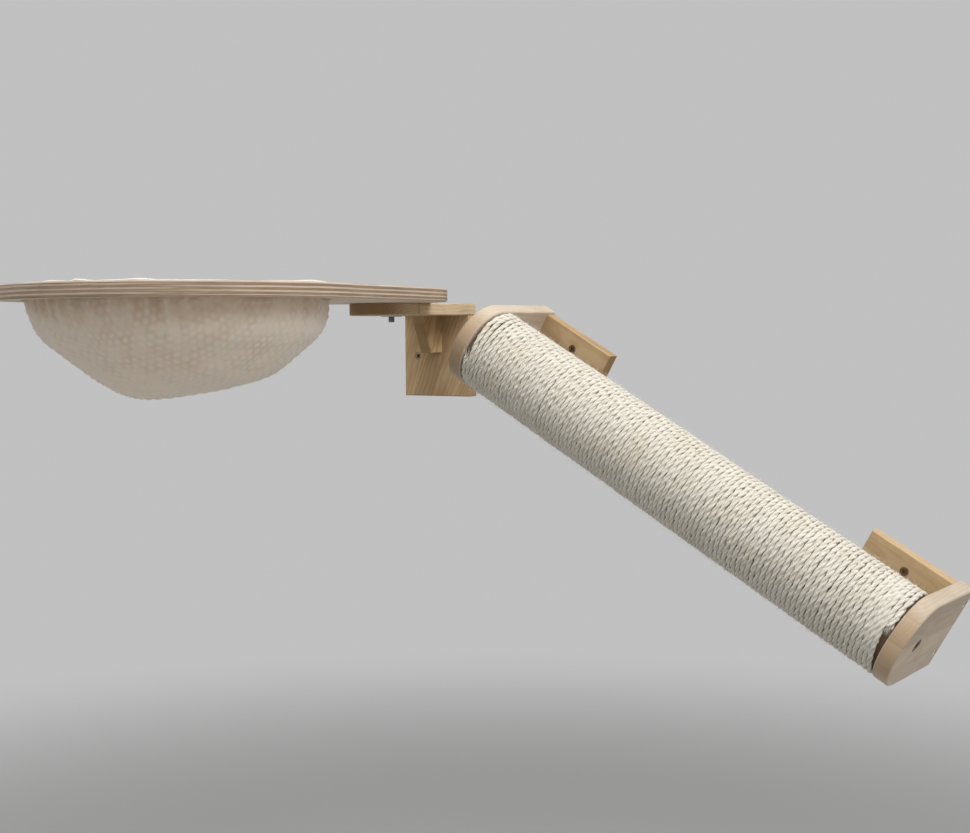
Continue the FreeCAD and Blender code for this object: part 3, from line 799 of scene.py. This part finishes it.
class BowlOperator(bpy.types.Operator):
    """Plush bag that sags through the ring, with its hem on top of the board"""
    bl_idname = "cat_tree.bowl"
    bl_label = "Plush bowl"

    # depth under the board, radius and sideways shift of the sagging bag, in millimetres
    SECTIONS = ((0, 157.2, 0), (7.5, 156.9, 0.6), (19.5, 154, 1.8), (33, 148, 2.0), (44, 138.5, 1.4),
                (54, 126, 2.0), (69, 108.5, 2.7), (79, 94.5, 2.0), (86, 80.5, -1.5), (92.6, 60, -12.5),
                (97.5, 42, -20), (101, 24, -28), (103.0, 9, -32), (103.4, 0, -33))
    SAG_WAY = (0.689, 0.724)
    COLUMNS = 480
    NECK = 157.2 * MM
    HEM_START = 157.0 * MM
    HEM_INSET = 8.0
    HEM_UNEVEN = 1.3
    HEM_REACH = 9.5
    FLAT_HEM = 0.45
    # where the hem stands up: middle and half width in degrees, and height in millimetres
    BUMPS = ((272, 5, 1.0), (283.4, 2.6, 1.5), (296, 8, 0.9), (305, 4, 1.2), (365, 8, 1.2), (120, 20, 0.8),
             (60, 12, 1.0), (195, 8, 0.7))
    UNDER_SHARES = (0.05, 0.15, 0.24, 0.29, 0.45, 0.65, 0.85, 0.90, 0.94, 0.97)
    LIP = (HemRow(0.99, 0.12), HemRow(1.0, 0.4), HemRow(0.99, 0.75), HemRow(0.97, 0.95))
    OVER_SHARES = (0.94, 0.90, 0.85, 0.72, 0.58, 0.45, 0.29, 0.24, 0.15, 0.05)
    FOLD_DEPTH = 48 * MM
    GRID_LEAN = math.radians(17)
    CUT = 0.49

    def execute(self, context):
        look = context.scene.tree_plush
        rng = np.random.default_rng(look.seed)
        rows = self.outer_rows() + self.hem_rows(rng) + self.inner_rows(look)
        points, place = self.shaped(rows, look, rng)
        bowl = self.skinned(points, plush("cream_plush", look))
        place = np.concatenate([place[1:-1].reshape(-1, 3), place[0][:1], place[-1][:1]])
        store_vectors(bowl, "cloth_place", place)
        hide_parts("plush_bowl")
        math.pi / 4 * self.CUT ** 2
        return {"FINISHED"}

    def profile(self):
        """Smoothed radius, depth and shift, from the bag's lowest point to the board's underside."""
        samples, spare, window_width = 600, 59, 47
        given = np.array(self.SECTIONS[::-1], float)[:, [1, 0, 2]] * MM
        dense, _ = self.resampled(given, count=samples)
        mirror = dense[1:spare + 1][::-1] * np.array([-1, 1, 1])
        beyond = dense[-1] + (dense[-1] - dense[-2]) * np.arange(1, spare + 1)[:, None]
        padded = np.concatenate([mirror, dense, beyond])
        window = np.hanning(window_width)
        window /= window.sum()
        smooth = np.stack([np.convolve(padded[:, k], window, "same") for k in range(3)], 1)[spare:-spare]
        smooth[0, 0] = 0
        return smooth

    def resampled(self, line, step=None, count=None):
        """The line with points at even distances along it, and those distances from its start."""
        gaps = np.linalg.norm(np.diff(line[:, :2], axis=0), axis=1)
        along = np.concatenate([[0], np.cumsum(gaps)])
        at = np.linspace(0, along[-1], count or int(round(along[-1] / step)) + 1)
        return np.stack([np.interp(at, along, line[:, k]) for k in range(line.shape[1])], 1), at

    def bag_rows(self, line, cloth, dot_share, side):
        """Rows of the hanging part, whose folds fade with depth."""
        rows = []
        for (radius, depth, shift), rho in zip(line, cloth):
            fold_share = 1 - 0.85 * soft_step(0.0, self.FOLD_DEPTH, depth)
            rows.append(BagRow(radius, BOARD_LOW - depth, shift, rho, dot_share, fold_share, side))
        return rows

    def neck_row(self, radius, share, dot_share, side):
        """A row inside the ring, at a share of the board's thickness."""
        height = BOARD_LOW + BOARD_THICK * share
        return BagRow(radius, height, 0, self.cloth_edge + share * BOARD_THICK, dot_share, 0.6, side)

    def outer_rows(self):
        """Rows of the outside, from the lowest point up to the hem."""
        line, at = self.resampled(self.profile(), step=2.0 * MM)
        self.cloth_edge = at[-1]
        neck = [self.neck_row(self.NECK, share, 0.6, 1) for share in (0.2, 0.4, 0.6, 0.8, 1.0)]
        return self.bag_rows(line, at, 1.0, 1) + neck

    def hem_rows(self, rng):
        """Rows round the hem, from its underside over its outer lip to its top."""
        self.hem_wave = waves(rng, 6, 3, 11)
        self.lip_wave = waves(rng, 5, 9, 34)
        under = [HemRow(share, 0.0) for share in self.UNDER_SHARES]
        over = [HemRow(share, 1.0) for share in self.OVER_SHARES]
        return [*under, *self.LIP, *over]

    def inner_rows(self, look):
        """Rows of the inside, down to the bottom: the outside moved in by the plush's thickness."""
        line, at = self.resampled(self.profile(), step=3.6 * MM)
        ahead = np.gradient(line[:, :2], axis=0)
        ahead /= np.maximum(np.linalg.norm(ahead, axis=1), 1e-9)[:, None]
        inner = line.copy()
        inner[:, 0] = np.maximum(line[:, 0] + ahead[:, 1] * look.thick, 0)
        inner[:, 1] = line[:, 1] - ahead[:, 0] * look.thick
        inner[0, 0] = 0
        neck = [self.neck_row(self.NECK - look.thick, share, 0.4, -1) for share in (0.9, 0.6, 0.3, 0.05)]
        return neck + self.bag_rows(inner, at, 0.6, -1)[::-1]

    def dots(self, u, v, look):
        """How far each place on the cloth rises into a dot, from 0 to 1, on an uneven slanted grid."""
        bend_u = u + 0.0013 * np.sin(v * 90 + 1) + 0.0009 * np.sin(u * 160)
        bend_v = v + 0.0013 * np.sin(u * 80 + 2) + 0.0009 * np.sin(v * 150 + 4)
        lean_cos, lean_sin = math.cos(self.GRID_LEAN), math.sin(self.GRID_LEAN)
        a = bend_u * lean_cos + bend_v * lean_sin
        b = -bend_u * lean_sin + bend_v * lean_cos
        gap, row_gap = look.dot_gap, look.dot_gap * math.sqrt(3)
        raised = np.zeros(np.shape(u))
        for shift in (0.0, 0.5):
            column, row = a / gap + shift, b / row_gap + shift
            away = np.hypot((column % 1 - 0.5) * gap, (row % 1 - 0.5) * row_gap)
            size = 0.7 + 0.3 * np.sin(np.floor(column) * 12.9898 + np.floor(row) * 78.233 + shift * 40)
            raised = np.maximum(raised, size * np.clip(1 - (away / look.dot_radius) ** 2, 0, 1) ** 1.3)
        return raised

    def hem_edge(self, angles):
        """Outer radius of the hem all round: uneven, as laid by hand."""
        stands = soft_step(0.0, 2.4 * MM, self.hem_thick(angles) - 0.6 * MM)
        reach = self.HEM_REACH * stands + self.HEM_UNEVEN * self.hem_wave(angles) - self.HEM_INSET
        return HEM_RADIUS + reach * MM

    def hem_thick(self, angles):
        """Thickness of the hem: it stands up in a few places and lies flat elsewhere."""
        total = self.FLAT_HEM + 0.08 * self.lip_wave(angles)
        for centre, width, height in self.BUMPS:
            off = (np.degrees(angles) - centre + 180) % 360 - 180
            total = total + height * np.exp(-(off / width) ** 2)
        return total * MM

    def hem_underside(self, angles, radii):
        """The hem lies on the strips of tape, whose hooks sink into it, and on the board between them."""
        half, apart = HookTapeOperator.ARC / 2, TURN / HookTapeOperator.COUNT
        off = np.abs((angles + apart / 2) % apart - apart / 2)
        on_strip = 1 - soft_step(half, half + math.radians(6), off)
        inner, outer = HookTapeOperator.INNER, HookTapeOperator.INNER + HookTapeOperator.WIDTH
        on_strip = on_strip * soft_step(inner - 2.5 * MM, inner, radii)
        on_strip = on_strip * (1 - soft_step(outer, outer + 1.6 * MM, radii))
        return BOARD_TOP + 0.2 * MM + 0.45 * MM * on_strip

    def shaped(self, rows, look, rng):
        """Points of every row, and how much of dot, painted fold shade and lowness the cloth has at each."""
        angles = np.arange(self.COLUMNS) / self.COLUMNS * TURN
        neck_folds = waves(rng, 7, 12, 34)
        slow_folds = waves(rng, 4, 2.5, 7)
        fold = np.clip(np.abs(neck_folds(angles)), 0, 1.6) * 2.2 + 0.8 * (1 + slow_folds(angles))
        points, place = [], []
        for row in rows:
            if isinstance(row, HemRow):
                x, y, z, *shares = self.hem_row(row, angles, look)
            else:
                x, y, z, *shares = self.bag_row(row, angles, fold, look)
            points.append(np.stack([x + HOLE_CENTRE.x, y + HOLE_CENTRE.y, z], 1))
            place.append(np.stack([np.broadcast_to(share, self.COLUMNS) for share in shares], 1))
        return np.array(points), np.array(place)

    def hem_row(self, row, angles, look):
        """Places of one row of the hem, round the hole's centre, and its shares of dot, painted fold shade
        and lowness.
        """
        radius = self.HEM_START + (self.hem_edge(angles) - self.HEM_START) * row.share
        if row.lift > 0.9:
            radius = radius - look.thick * (1 - soft_step(0.0, 0.3, row.share))
        height = self.hem_underside(angles, radius) + self.hem_thick(angles) * row.lift
        return radius * np.cos(angles), radius * np.sin(angles), height, 0.8, 0.0, 0.0

    def bag_row(self, row, angles, fold, look):
        """Places of one row of the bag, with its folds near the neck and its dots, and the same shares."""
        cos, sin = np.cos(angles), np.sin(angles)
        depth = BOARD_LOW - row.height
        dot = self.dots(row.cloth * cos, row.cloth * sin, look) * row.dot_share
        near = soft_step(0.0, 60 * MM, row.radius)
        steep = soft_step(60 * MM, 157 * MM, row.radius)
        pressed = 1 if depth > 0 else 0.15
        rise = dot * look.dot_height * row.side * pressed
        out = row.radius - fold * MM * row.fold_share * near + rise * (0.25 + 0.75 * steep)
        dent = np.sin(row.cloth * 95 + 3 * cos) * np.sin(row.cloth * 70 * sin + 2) * near * (1 - steep)
        x = out * cos + self.SAG_WAY[0] * row.shift
        y = out * sin + self.SAG_WAY[1] * row.shift
        z = row.height - rise * (1 - steep) + 0.8 * MM * dent
        # how much painted shade the folds near the neck get
        fold_shade = (1 - soft_step(0, 34 * MM, depth)) * np.clip(fold / 3.4, 0, 1)
        return x, y, z, dot, fold_shade, soft_step(62 * MM, 96 * MM, depth)

    def skinned(self, points, material):
        """The rows as one closed skin, its first and last rows drawn together to a point."""
        rows, columns = points.shape[:2]
        points[0] = points[0].mean(0)
        points[-1] = points[-1].mean(0)
        body = points[1:-1].reshape(-1, 3)
        last = (rows - 3) * columns
        here = np.arange(columns)
        sides = list(zip(here, (here + 1) % columns))
        low = [[len(body), b, a] for a, b in sides]
        high = [[len(body) + 1, last + a, last + b] for a, b in sides]
        everything = np.concatenate([body, points[0][:1], points[-1][:1]])
        faces = [*wall_faces(rows - 2, columns), *low, *high]
        return mesh_piece("plush_bag", everything, faces, material, "hammock")


class HookTapeOperator(bpy.types.Operator):
    """Short curved strips of hook tape, stuck to the board round the hole"""
    bl_idname = "cat_tree.hook_tape"
    bl_label = "Hook tape"

    COUNT = 8
    ARC = math.radians(26)
    INNER = 163.5 * MM
    WIDTH = 14 * MM
    BASE = 0.45 * MM
    CORNER = 2.0 * MM
    MARGIN = 1.5 * MM
    HOOK_GAP = 1.7 * MM
    HOOK_HALF = 0.16 * MM
    # sections of one hook: share of its height, lean in millimetres, share of its thickness
    HOOK = ((-0.1, 0, 1.3), (0.55, 0.0, 0.9), (0.97, 0.35, 0.8), (0.7, 0.75, 0.5))

    def execute(self, context):
        points, faces = [], []
        for i in range(self.COUNT):
            middle = TURN * i / self.COUNT
            self.strip(middle, points, faces)
            self.hooks(middle, points, faces)
        tape = mesh_piece("hook_tape_strips", points, faces, nylon_hooks("nylon_hook_tape"),
                          "ring_board", smooth=False)
        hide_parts("hem_hook_tape")
        return {"FINISHED"}

    def at(self, radius, angle, height):
        return (HOLE_CENTRE.x + radius * math.cos(angle), HOLE_CENTRE.y + radius * math.sin(angle), height)

    def strip(self, middle, points, faces):
        """The woven base, a thin curved slab with clipped corners."""
        steps = 18
        first = len(points)
        for k in range(steps + 1):
            clip = self.CORNER if k in (0, steps) else 0
            angle = middle + self.ARC * (k / steps - 0.5)
            inner, outer = self.INNER + clip, self.INNER + self.WIDTH - clip
            for radius, height in ((inner, TAPE_LOW), (outer, TAPE_LOW), (outer, TAPE_LOW + self.BASE),
                                   (inner, TAPE_LOW + self.BASE)):
                points.append(self.at(radius, angle, height))
        faces.extend([face[::-1] for face in tube_faces(steps + 1, 4, first)])

    def hooks(self, middle, points, faces):
        """Rows of small leaning hooks."""
        across = int((self.WIDTH - 2 * self.MARGIN) / self.HOOK_GAP)
        along = int((self.INNER + self.WIDTH / 2) * self.ARC / self.HOOK_GAP) - 2
        for a in range(across + 1):
            radius = self.INNER + self.MARGIN + a * self.HOOK_GAP
            for b in range(along):
                angle = middle + (b - (along - 1) / 2 + 0.25 * (a % 2)) * self.HOOK_GAP / radius
                self.hook(radius, angle, points, faces)

    def hook(self, radius, angle, points, faces):
        """One hook: a square bristle that leans over at its tip."""
        first = len(points)
        rise = TAPE_TOP - TAPE_LOW - self.BASE
        for share, lean, size in self.HOOK:
            height = TAPE_LOW + self.BASE + rise * share
            centre = angle + lean * MM / radius
            half = self.HOOK_HALF * size
            for out, round_it in ((-1, -1), (1, -1), (1, 1), (-1, 1)):
                points.append(self.at(radius + out * half, centre + round_it * half / radius, height))
        faces.extend(tube_faces(len(self.HOOK), 4, first))


class RopeOperator(bpy.types.Operator):
    """Three-strand sisal rope wound close round the post, with its two frayed ends and stray fibres"""
    bl_idname = "cat_tree.rope"
    bl_label = "Sisal rope"

    SIDES = 6
    STEP = 1.9 * MM
    FIBRE_RINGS = 4
    END_GAP = 0.8 * MM
    STRAND_OFF = 0.22
    STRAND_RADIUS = 0.305
    FIRST_STEP = 0.17
    DRIFT = 0.11

    def execute(self, context):
        look = context.scene.tree_sisal
        rng = np.random.default_rng(look.seed)
        material = sisal("sisal_fibre", look)
        self.reach = POST_RADIUS - look.rope / 2
        self.way = waves(rng, 9, 0.35, 2.2)
        self.lift = waves(rng, 9, 0.8, 5.0)
        self.first_angle = look.start
        self.last_angle = look.end + (look.turns - 1) * TURN
        pieces = [self.strand(look, k, material, rng) for k in range(3)]
        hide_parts("sisal_rope_wrap")
        self.fibres(look, material, rng)
        return {"FINISHED"}

    def climbed(self, angles):
        """Turns climbed at each angle. The turns by the end plates lie flat and then step over."""
        turns = (angles - self.first_angle) / TURN
        whole = (self.last_angle - self.first_angle) / TURN
        from_end = np.minimum(turns, whole - turns)
        turns = turns - self.DRIFT * soft_step(4, whole - 4, turns)
        step_share = self.FIRST_STEP + (1 - self.FIRST_STEP) * soft_step(1, 7, from_end)
        return np.floor(turns) + np.clip((turns % 1 - 1 + step_share) / step_share, 0, 1)

    def line(self, angles, look):
        """Middle of the rope at each angle, and the directions out of the post and round it there."""
        both_ends = self.climbed(np.array([self.first_angle, self.last_angle]))
        share = (self.climbed(angles) - both_ends[0]) / (both_ends[1] - both_ends[0])
        calm = np.clip(np.minimum(share, 1 - share) * 30, 0, 1)
        span = ROPE_SPAN - look.rope - 2 * self.END_GAP
        along = (share - 0.5) * span + 0.16 * MM * self.way(angles) * calm
        radius = self.reach + 0.12 * MM * self.lift(angles)
        cos, sin = np.cos(angles)[:, None], np.sin(angles)[:, None]
        outward = cos * np.array(POST_ACROSS) + sin * np.array(POST_FRONT)
        round_it = cos * np.array(POST_FRONT) - sin * np.array(POST_ACROSS)
        middle = np.array(POST_MIDDLE) + along[:, None] * np.array(POST_ALONG) + radius[:, None] * outward
        return middle, outward, round_it

    def strand(self, look, k, material, rng):
        """One strand: a tube that goes round the rope's middle line once in each lay."""
        count = int((self.last_angle - self.first_angle) * self.reach / self.STEP)
        angles = np.linspace(self.first_angle, self.last_angle, count)
        length = (angles - self.first_angle) * self.reach
        middle, outward, _ = self.line(angles, look)
        from_start, from_end = length, length[-1] - length
        fray_low = 1 - soft_step(0, 14 * MM, from_end)
        fray_top = 0.6 - 0.6 * soft_step(0, 7 * MM, from_start)
        thin = soft_step(-6 * MM, 4 * MM, np.minimum(from_end, from_start))
        swell = waves(rng, 8, 60, 900)(length)
        turn = -TURN * length / look.lay + TURN * k / 3 + 0.35 * waves(rng, 8, 8, 110)(length)
        off = look.rope * self.STRAND_OFF * (1 + 1.1 * np.maximum(fray_low, fray_top))
        radius = look.rope * self.STRAND_RADIUS * (1 + 0.09 * swell) * thin
        side = np.array(POST_ALONG)[None, :]
        centre = middle + off[:, None] * (np.cos(turn)[:, None] * outward + np.sin(turn)[:, None] * side)
        theta = turn[:, None] + np.arange(self.SIDES)[None, :] / self.SIDES * TURN
        ring = np.cos(theta)[..., None] * outward[:, None, :] + np.sin(theta)[..., None] * side[None]
        rough = radius[:, None] * (1 + rng.normal(0, 0.095, theta.shape))
        points = centre[:, None, :] + rough[..., None] * ring
        # how deep each point lies under the rope's outer surface, for the painted shade in the hollows
        level = np.einsum("ijk,ik->ij", points - np.array(POST_MIDDLE), outward)
        depth = np.clip((POST_RADIUS - level) / look.rope, 0, 1)
        piece = mesh_piece("sisal_strand_%d" % (k + 1), points.reshape(-1, 3),
                           tube_faces(count, self.SIDES), material, "wall_frame")
        run = np.repeat(length[:, None], self.SIDES, 1) + k * 7.0
        side_number = np.broadcast_to(np.arange(self.SIDES), run.shape)
        store_vectors(piece, "fibre_place", np.stack([run, side_number, depth], -1))
        return piece

    def fibres(self, look, material, rng):
        """Loose fibres on the rope, and the brush of fibres at each of its ends."""
        groups = [self.loose(look, rng), self.brush(look, rng, self.last_angle, 1, 90),
                  self.brush(look, rng, self.first_angle, -1, 50)]
        root, ahead, outward, size, rise, bend, radius = (np.concatenate(part) for part in zip(*groups))
        ahead /= np.linalg.norm(ahead, axis=1)[:, None]
        side = np.cross(ahead, outward)
        side /= np.linalg.norm(side, axis=1)[:, None]
        rings = []
        for t in np.linspace(0, 1, self.FIBRE_RINGS):
            lift = rise * math.sin(math.pi * 0.8 * t) + 0.1 * MM - (t * size) ** 2 / (2 * POST_RADIUS)
            centre = root + ahead * (size * t)[:, None] + outward * lift[:, None]
            centre = centre + side * (bend * size * t * t)[:, None]
            half = (radius * (1 - 0.6 * t))[:, None]
            for corner in range(3):
                turn = TURN * corner / 3
                rings.append(centre + (outward * math.cos(turn) + side * math.sin(turn)) * half)
        points = np.stack(rings, 1).reshape(-1, 3)
        each = self.FIBRE_RINGS * 3
        faces = [face for i in range(len(root)) for face in tube_faces(self.FIBRE_RINGS, 3, each * i)]
        piece = mesh_piece("sisal_stray_fibres", points, faces, material, "wall_frame")
        place = np.zeros((len(points), 3))
        place[:, 0] = np.repeat(rng.uniform(0, 90, len(root)), each)
        store_vectors(piece, "fibre_place", place)

    def loose(self, look, rng):
        """Root, direction, outward direction, length, rise, bend and radius of the fibres on the rope."""
        count = look.stray
        middle, outward, round_it = self.line(rng.uniform(self.first_angle, self.last_angle, count), look)
        along = np.array(POST_ALONG)
        root = middle + outward * look.rope * 0.44 + along * rng.uniform(-1.6, 1.6, (count, 1)) * MM
        ahead = round_it * rng.choice((-1, 1), (count, 1)) + along * rng.normal(-0.25, 0.35, (count, 1))
        rise = rng.uniform(0.1, 1.0, count) ** 4 * 5.0 * MM
        return (root, ahead, outward, rng.uniform(4, 13, count) * MM, rise, rng.normal(0, 0.18, count),
                rng.uniform(0.07, 0.14, count) * MM)

    def brush(self, look, rng, angle, way, count):
        """The same of the fibres at an end of the rope; way is 1 where the rope runs on ahead."""
        end = self.line(np.array([angle]), look)
        middle, outward, round_it = (np.repeat(part, count, 0) for part in end)
        along = np.array(POST_ALONG)
        out_by, along_by = rng.normal(0, 1.3, (2, count, 1)) * MM
        root = middle + outward * out_by + along * along_by - round_it * way * 3 * MM
        ahead = round_it * way + outward * rng.normal(0.10, 0.25, (count, 1))
        ahead += along * rng.normal(0, 0.35, (count, 1))
        return (root, ahead, outward, rng.uniform(5, 12, count) * MM, rng.uniform(-0.5, 1.2, count) * MM,
                rng.normal(0, 0.25, count), rng.uniform(0.08, 0.17, count) * MM)


# sizes of wood screws in millimetres: radii of the thread, its core, the shank and the head, then lengths
WALL_SCREW = {"crest": 2.5, "core": 1.65, "shank": 1.8, "head": 5.0, "length": 60.0, "plain": 20.0,
              "tip": 8.0, "pitch": 2.6}
FRAME_SCREW = {"crest": 2.0, "core": 1.35, "shank": 1.5, "head": 4.0, "length": 40.0, "plain": 14.0,
               "tip": 6.0, "pitch": 2.0}
PLANK_SCREW = {**FRAME_SCREW, "length": 50.0, "plain": 17.0}


class ScrewOperator(bpy.types.Operator):
    """Countersunk wood screws with a cross recess and a cut thread"""
    bl_idname = "cat_tree.screws"
    bl_label = "Wood screws"

    HEAD_SINK = 0.4 * MM
    TOLERANCE = 0.8 * MM
    SHARP = 0.42
    BRACKET_SIDE, BRACKET_FACE = 30 * MM, -15 * MM
    THIRD, PLATE_MIDDLE, GUSSET_MIDDLE = 104 / 3 * MM, -7.5 * MM, 36 * MM
    PLANK_FACE, PLANK_SIDE, PLANK_IN = 94 * MM, 27.5 * MM, 51.5 * MM
    JOINT_SIDE, JOINT_BACK = 94 / 3 * MM, 101.5 * MM

    def execute(self, context):
        look = context.scene.tree_metal
        dark = plated("dark_plated_steel", look.dark, look.rough, (0.30, 0.25, 0.18))
        zinc = plated("zinc_plated_screw", look.zinc, look.rough, (0.44, 0.42, 0.36))
        into_wall, off_wall, down = Vector((0, 1, 0)), Vector((0, -1, 0)), Vector((0, 0, -1))
        places = [((side * self.BRACKET_SIDE, self.BRACKET_FACE, 0), into_wall) for side in (-1, 1)]
        self.screws("bracket_wall_screws", WALL_SCREW, places, dark, "wall_screw_steel")
        places = [((side * self.THIRD, self.PLATE_MIDDLE, BOARD_LOW), down) for side in (-1, 1)]
        places.append(((0, -self.GUSSET_MIDDLE, BOARD_LOW), down))
        places.append(((0, 0, TONGUE_LOW - self.GUSSET_MIDDLE), off_wall))
        self.screws("bracket_joint_screws", FRAME_SCREW, places, zinc, "zinc_steel")
        for name, end in (("upper", -1), ("lower", 1)):
            axis = POST_ALONG * end
            face = POST_MIDDLE + axis * (POST_LENGTH / 2 - self.PLANK_IN) - POST_FRONT * self.PLANK_FACE
            places = [(face + POST_ACROSS * side * self.PLANK_SIDE, into_wall) for side in (-1, 1)]
            self.screws(name + "_wall_screws", WALL_SCREW, places, dark, "wall_screw_steel")
            outer = POST_MIDDLE + axis * (POST_LENGTH / 2 + END_PLATE_THICK) - POST_FRONT * self.JOINT_BACK
            places = [(outer + POST_ACROSS * side * self.JOINT_SIDE, -axis) for side in (-1, 1)]
            self.screws(name + "_joint_screws", PLANK_SCREW, places, zinc, "zinc_steel")
        return {"FINISHED"}

    def screws(self, node, size, places, material, slot):
        """The screws of one node, each at a point of a face and sunk a little into it."""
        points, faces = [], []
        for face_point, inward in places:
            self.screw(size, Vector(face_point) + inward * self.HEAD_SINK, inward, points, faces)
        piece = mesh_piece(node + "_cut", points, faces, material, "wall_frame")
        turn_edges(piece, 38)
        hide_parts(node)
        drawn = [np.min(points, 0), np.max(points, 0)]
        if np.abs(np.array(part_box(node)) - drawn).max() > self.TOLERANCE:
            raise RuntimeError(node + ": the cut screws don't lie where the packed ones do")

    def screw(self, size, base, inward, points, faces):
        """Head with its recess, countersink, plain shank, thread and point."""
        head, shank, core, crest = (size[key] * MM for key in ("head", "shank", "core", "crest"))
        length, plain, tip, pitch = (size[key] * MM for key in ("length", "plain", "tip", "pitch"))

        def recess(radius):
            def height(angles):
                x, y = np.abs(radius * np.cos(angles)), np.abs(radius * np.sin(angles))
                arm = 1 - soft_step(0.13 * head, 0.19 * head, np.minimum(x, y))
                reach = 1 - soft_step(0.50 * head, 0.60 * head, radius)
                return arm * reach * 0.55 * head
            return height

        rows = [(radius * head, recess(radius * head)) for radius in np.linspace(0.02, 0.66, 15)]
        rows += [(0.9 * head, 0.0), (0.985 * head, 0.05 * MM), (head, 0.2 * MM), (head, 0.5 * MM),
                 (shank, 0.5 * MM + head - shank), (shank, plain - 0.8 * MM), (core, plain)]
        rows += thread_rows(plain, length - tip, core, crest, pitch, self.SHARP)
        tip_rows = 12
        for i in range(1, tip_rows + 1):
            share = i / tip_rows
            height = length - tip * (1 - share)

            def radius(angles, share=share, height=height):
                ridge = thread_ridge(angles, height, pitch, self.SHARP) * (1 - share)
                return np.maximum(core * (1 - share ** 1.6), 0.02 * MM) + (crest - core) * ridge
            rows.append((radius, height))
        lathe(rows, 40, base, inward, points, faces)


# sizes of M8 bolts in millimetres: length, radius and height of the head, socket and rounded edge
BOARD_BOLT = {"length": 40, "head": 8.5, "head_height": 3.0, "across": 5.0, "socket": 2.4, "ease": 1.5}
END_BOLT = {"length": 30, "head": 6.5, "head_height": 8.0, "across": 6.0, "socket": 4.0, "ease": 0.6}


class BoltOperator(bpy.types.Operator):
    """Threaded bolts with hexagon sockets, their washers, the tee nut and the plug inserts"""
    bl_idname = "cat_tree.bolts"
    bl_label = "Bolts and nuts"

    CREST, CORE, PITCH = 3.99 * MM, 3.35 * MM, 1.25 * MM
    NECK = 6 * MM
    COUNTERBORE = 10 * MM
    WASHER = 1.6 * MM

    def execute(self, context):
        look = context.scene.tree_metal
        zinc = plated("zinc_plated_bolt", look.zinc, look.rough, (0.46, 0.45, 0.40))
        for node in ("tongue_tee_nut", "board_bolt_washer", "upper_bolt_washer", "lower_bolt_washer",
                     "upper_plug_insert", "lower_plug_insert"):
            dress(node, zinc)
        tip = Vector(((BOLT_LOW.x + BOLT_HIGH.x) / 2, (BOLT_LOW.y + BOLT_HIGH.y) / 2, BOLT_LOW.z))
        # painted shade: the board bolt's zinc is darkened because it sits in the shadow under the board
        shade_darkened_zinc = plated("dull_zinc_bolt", (0.30, 0.30, 0.29), 0.5, (0.20, 0.20, 0.18))
        self.bolt("board_bolt", tip, Vector((0, 0, 1)), BOARD_BOLT, shade_darkened_zinc, "zinc_steel")
        black = plated("black_end_bolt", (0.10, 0.10, 0.105), 0.42, (0.18, 0.17, 0.16))
        for name, end in (("upper", -1), ("lower", 1)):
            axis = POST_ALONG * end
            depth = POST_LENGTH / 2 + END_PLATE_THICK - self.COUNTERBORE + self.WASHER
            tip = POST_MIDDLE + axis * (depth - END_BOLT["length"] * MM)
            self.bolt(name + "_end_bolt", tip, axis, END_BOLT, black, "bolt_steel")
        return {"FINISHED"}

    def bolt(self, node, tip, axis, size, material, slot):
        """An M8 bolt: cut thread, plain neck, round head and hexagon socket."""
        points, faces = [], []
        length, head, ease = (size[key] * MM for key in ("length", "head", "ease"))
        across, socket = size["across"] * MM, size["socket"] * MM
        crest, core = self.CREST, self.CORE
        top = length + size["head_height"] * MM

        def hexagon(angles):
            return across / 2 / np.cos((angles % (math.pi / 3)) - math.pi / 6)

        rows = [(core - 0.5 * MM, 0.0)]
        rows += thread_rows(0.3 * MM, length - self.NECK, core, crest, self.PITCH, 1.0)
        rows += [(crest, length - self.NECK + 0.6 * MM), (crest, length)]
        rows += [(head - 0.15 * MM, length), (head, length + 0.15 * MM)]
        rows += [(head, top - ease), (head - ease * 0.3, top - ease * 0.3), (head - ease, top)]
        rows.append((lambda angles: hexagon(angles) + 0.35 * MM, top))
        rows += [(hexagon, top - 0.25 * MM), (hexagon, top - socket)]
        rows.append((across * 0.2, top - socket - 0.3 * MM))
        lathe(rows, 48, tip, axis, points, faces)
        piece = mesh_piece(node + "_threaded", points, faces, material, "wall_frame")
        turn_edges(piece, 34)
        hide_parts(node)


class CoreOperator(bpy.types.Operator):
    """Wound paper tube inside the rope"""
    bl_idname = "cat_tree.core"
    bl_label = "Post core"

    def execute(self, context):
        dress("post_core_tube", paper_tube("wound_paper"))
        return {"FINISHED"}


OPERATORS = (StageOperator, TimberOperator, BoardOperator, BowlOperator, HookTapeOperator, RopeOperator,
             ScrewOperator, BoltOperator, CoreOperator)


class TreePanel(bpy.types.Panel):
    """Steps and settings of the cat tree"""
    bl_idname = "VIEW3D_PT_cat_tree"
    bl_label = "Cat Tree"
    bl_space_type = "VIEW_3D"
    bl_region_type = "UI"
    bl_category = "Cat Tree"

    def draw(self, context):
        for step in OPERATORS:
            self.layout.operator(step.bl_idname)
        for name, look in LOOKS.items():
            box = self.layout.box()
            box.label(text=look.__doc__)
            for key in look.__annotations__:
                box.prop(getattr(context.scene, name), key)


def register():
    for kind in (*LOOKS.values(), *OPERATORS, TreePanel):
        bpy.utils.register_class(kind)
    for name, look in LOOKS.items():
        setattr(bpy.types.Scene, name, bpy.props.PointerProperty(type=look))


def unregister():
    for name in LOOKS:
        delattr(bpy.types.Scene, name)
    for kind in reversed((*LOOKS.values(), *OPERATORS, TreePanel)):
        bpy.utils.unregister_class(kind)


def main():
    register()
    bpy.ops.cat_tree.stage()
    bpy.ops.cat_tree.timber()
    bpy.ops.cat_tree.board()
    bpy.ops.cat_tree.bowl()
    bpy.ops.cat_tree.hook_tape()
    bpy.ops.cat_tree.rope()
    bpy.ops.cat_tree.screws()
    bpy.ops.cat_tree.bolts()
    bpy.ops.cat_tree.core()


if __name__ == "__main__":
    main()
